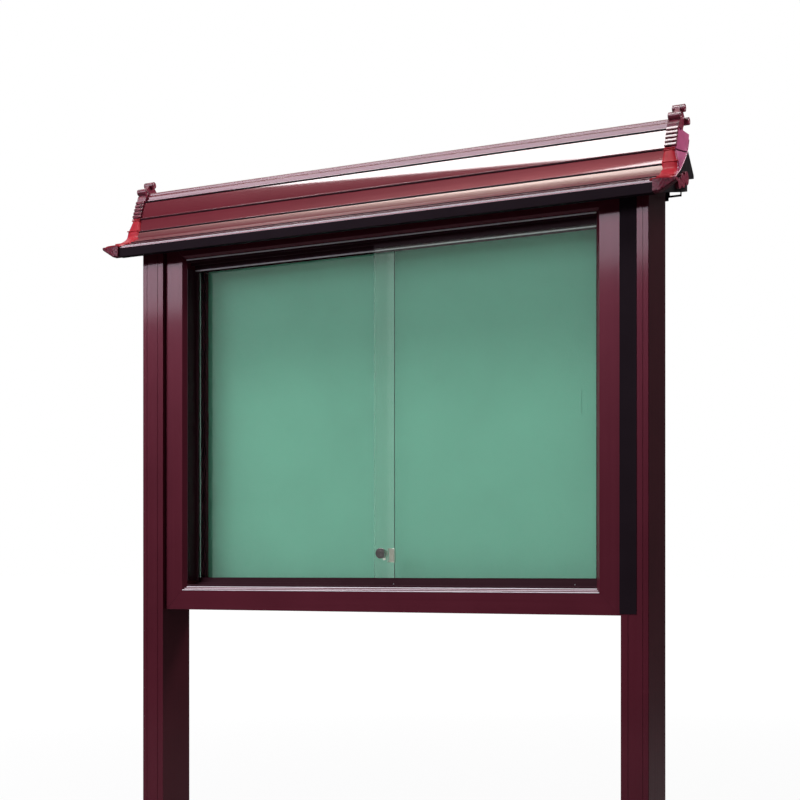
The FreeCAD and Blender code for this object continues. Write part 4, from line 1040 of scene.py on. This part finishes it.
def rib_outlines(count):
    """Outlines of the flat-fronted ribs stacked between the first two points of the verge."""
    (y, z), (foot_y, foot_z) = VERGE[0], VERGE[1]
    out = outward(VERGE, 0)
    long = math.hypot(foot_y - y, foot_z - z)
    half = long / count / 2 - 1.2
    made = []
    for index in range(count):
        share = (index + 0.5) / count
        middle = (y + (foot_y - y) * share, z + (foot_z - z) * share)
        shape = ((-half, -7), (-half, 0.4), (-half + 1, 1.6), (0, 1.8), (half - 1, 1.6),
                 (half, 0.4), (half, -7))
        made.append(metres([
            (middle[0] - out[1] * a + out[0] * b, middle[1] + out[0] * a + out[1] * b)
            for a, b in shape]))
    return made


def nose_rings(side):
    """Rings of the eave's carved nose, whose foot rises to a thin tip at its outer end."""
    rings = []
    for step in range(17):
        x = ROOF_END + (NOSE_TIP - ROOF_END) * step / 16
        rise = 23 * max(0.0, (x - NOSE_RISE) / (NOSE_TIP - NOSE_RISE))
        front, low, high = -141 + rise * 0.15, 1839 + rise, 1870
        ring = [(front + 3, low), (front, low + 3), (front, high - 2), (front + 2, high),
                (-122, high), (-120, high - 2), (-120, low + 2), (-122, low)]
        rings.append([(side * x * MM, y * MM, z * MM) for y, z in ring])
    return rings


class BOARD_OT_castings(bpy.types.Operator):
    """Makes the cast roof ends: ribs, strip, barge board, carving, scrolls and eave nose"""

    bl_idname = "board.castings"
    bl_label = "Cast roof ends"

    def execute(self, context):
        sizes = context.scene.board_castings
        edge = context.scene.board_edges.casting
        rolls, bead, run = rolls_tree(), bead_tree(), run_tree()
        foot = smooth_line(BARGE_FOOT)
        for name, side in ENDS:
            low, high = sorted((side * ROOF_END, side * WEB_FACE))
            # The web takes the dark enamel as painted shade.
            web = grown(
                "web", section_mesh("web", low * MM, metres(gable_outline())), run,
                Length=(high - low) * MM, Finish=finish("maroon_gable_painted_shade"))
            settle(merged(f"gable_plate_{name}_dressed", [web]), f"gable_plate_{name}",
                   kind="maroon_gable_painted_shade")
            self.verge(name, side, sizes, rolls)
            lit = (
                self.barge(name, side, sizes, bead, foot),
                self.scrolls(name, side, sizes, edge, bead, run),
                self.carving(name, edge),
                settle(merged(f"eave_cap_{name}_dressed", [loft("nose", nose_rings(side))]),
                       f"eave_cap_{name}", kind="maroon_casting"),
            )
            for piece in lit:
                bpy.data.collections["Lit gables"].objects.link(piece)
        return {"FINISHED"}

    def verge(self, name, side, sizes, rolls):
        """The crowned strip down the verge, in three lengths with bands across it."""
        # The strip takes the red brightened as painted light.
        coat = finish("maroon_verge_painted_light")
        inner = ROOF_END * MM - sizes.lap
        parts = [loft("strip", strip_rings(side, sizes.lap, first, last))
                 for first, last in STRIP_LENGTHS]
        path = smooth_line(VERGE)
        for share in BAND_PLACES:
            y, z = path[round(share * (len(path) - 1))]
            far = BARGE_FACE * MM + flare_at(z) * MM
            parts.append(grown(
                "band", None, rolls, Count=1, Radius=sizes.band, Length=far - inner, Finish=coat,
                First=(side * (inner + far) / 2, y * MM, z * MM), Step=(0.0, 0.0, 0.0)))
        strip = merged(f"verge_strip_{name}", parts)
        coated(strip, "maroon_verge_painted_light")
        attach(strip, "cabinet")

    def barge(self, name, side, sizes, bead, foot):
        """The crescent board in two castings, with a bead along its foot."""
        # The board takes the mauve lightened as painted reflection.
        coat = finish("maroon_barge_painted_reflection")
        parts = [loft(part, barge_rings(side, first, last))
                 for part, first, last in BARGE_CASTINGS]
        rim = [(side * BARGE_FACE * MM, y * MM, z * MM) for y, z in foot[4:-3]]
        parts.append(grown("rim", line_mesh("rim", rim), bead, Radius=sizes.bead, Finish=coat))
        return settle(merged(f"barge_board_{name}_dressed", parts), f"barge_board_{name}",
                      kind="maroon_barge_painted_reflection")

    def scrolls(self, name, side, sizes, edge, bead, run):
        """The finial: three rolls on a leafy neck over a saddle and the stacked ribs."""
        coat = finish("maroon_scroll")
        body = joined_copy(f"finial_{name}", "finial")
        soften(body, edge * 0.6, segments=3)
        near, far = ROOF_END * MM - sizes.lap, (BARGE_FACE + 1) * MM
        start = min(side * near, side * far)
        saddle = grown(
            "saddle", section_mesh("saddle", start, metres(SADDLE)), run,
            Length=far - near, Finish=coat)
        ribs = grown(
            "ribs", section_mesh("ribs", start, *rib_outlines(sizes.rib_count)), run,
            Length=far - near, Finish=coat)
        soften(ribs, 0.0006, limit=25.0)
        parts = [body, saddle, ribs]
        for centre in ROLL_MIDDLES:
            for x in ROLL_FACES:
                line = ring_line(centre, 7.6, 1.6, x)
                parts.append(grown(
                    "winding", line_mesh("winding", metres([(side * a, b, c) for a, b, c in line])),
                    bead, Radius=sizes.scroll, Finish=coat))
        return settle(merged(f"finial_{name}_dressed", parts), f"finial_{name}",
                      kind="maroon_scroll")

    def carving(self, name, edge):
        """The carved pendant under the gable."""
        body = joined_copy(f"gable_ornament_{name}", "pendant")
        soften(body, edge * 0.4, segments=3)
        return settle(merged(f"gable_ornament_{name}_dressed", [body]), f"gable_ornament_{name}")


class BOARD_PT_panel(bpy.types.Panel):
    """Lists the steps that dress the notice board"""

    bl_idname = "BOARD_PT_panel"
    bl_label = "Notice Board"
    bl_space_type = "VIEW_3D"
    bl_region_type = "UI"
    bl_category = "Notice Board"

    def draw(self, context):
        for step in STEPS:
            self.layout.operator(step.bl_idname)
        for name in GROUPS:
            held = getattr(context.scene, name)
            box = self.layout.box()
            for key in held.__annotations__:
                box.prop(held, key)


STEPS = (
    BOARD_OT_stage, BOARD_OT_case, BOARD_OT_board, BOARD_OT_tracks, BOARD_OT_doors,
    BOARD_OT_lock, BOARD_OT_roof, BOARD_OT_lines, BOARD_OT_castings,
)
GROUPS = {
    "board_colours": FinishColours,
    "board_edges": EdgeSizes,
    "board_castings": CastingSizes,
    "board_stage": StageSizes,
}


def register():
    for group in GROUPS.values():
        bpy.utils.register_class(group)
    for name, group in GROUPS.items():
        setattr(bpy.types.Scene, name, bpy.props.PointerProperty(type=group))
    for item in (*STEPS, BOARD_PT_panel):
        bpy.utils.register_class(item)


def unregister():
    for item in reversed((*STEPS, BOARD_PT_panel)):
        bpy.utils.unregister_class(item)
    for name in GROUPS:
        delattr(bpy.types.Scene, name)
    for group in reversed(list(GROUPS.values())):
        bpy.utils.unregister_class(group)


def main():
    register()
    for step in STEPS:
        area, name = step.bl_idname.split(".")
        getattr(getattr(bpy.ops, area), name)()


if __name__ == "__main__":
    main()
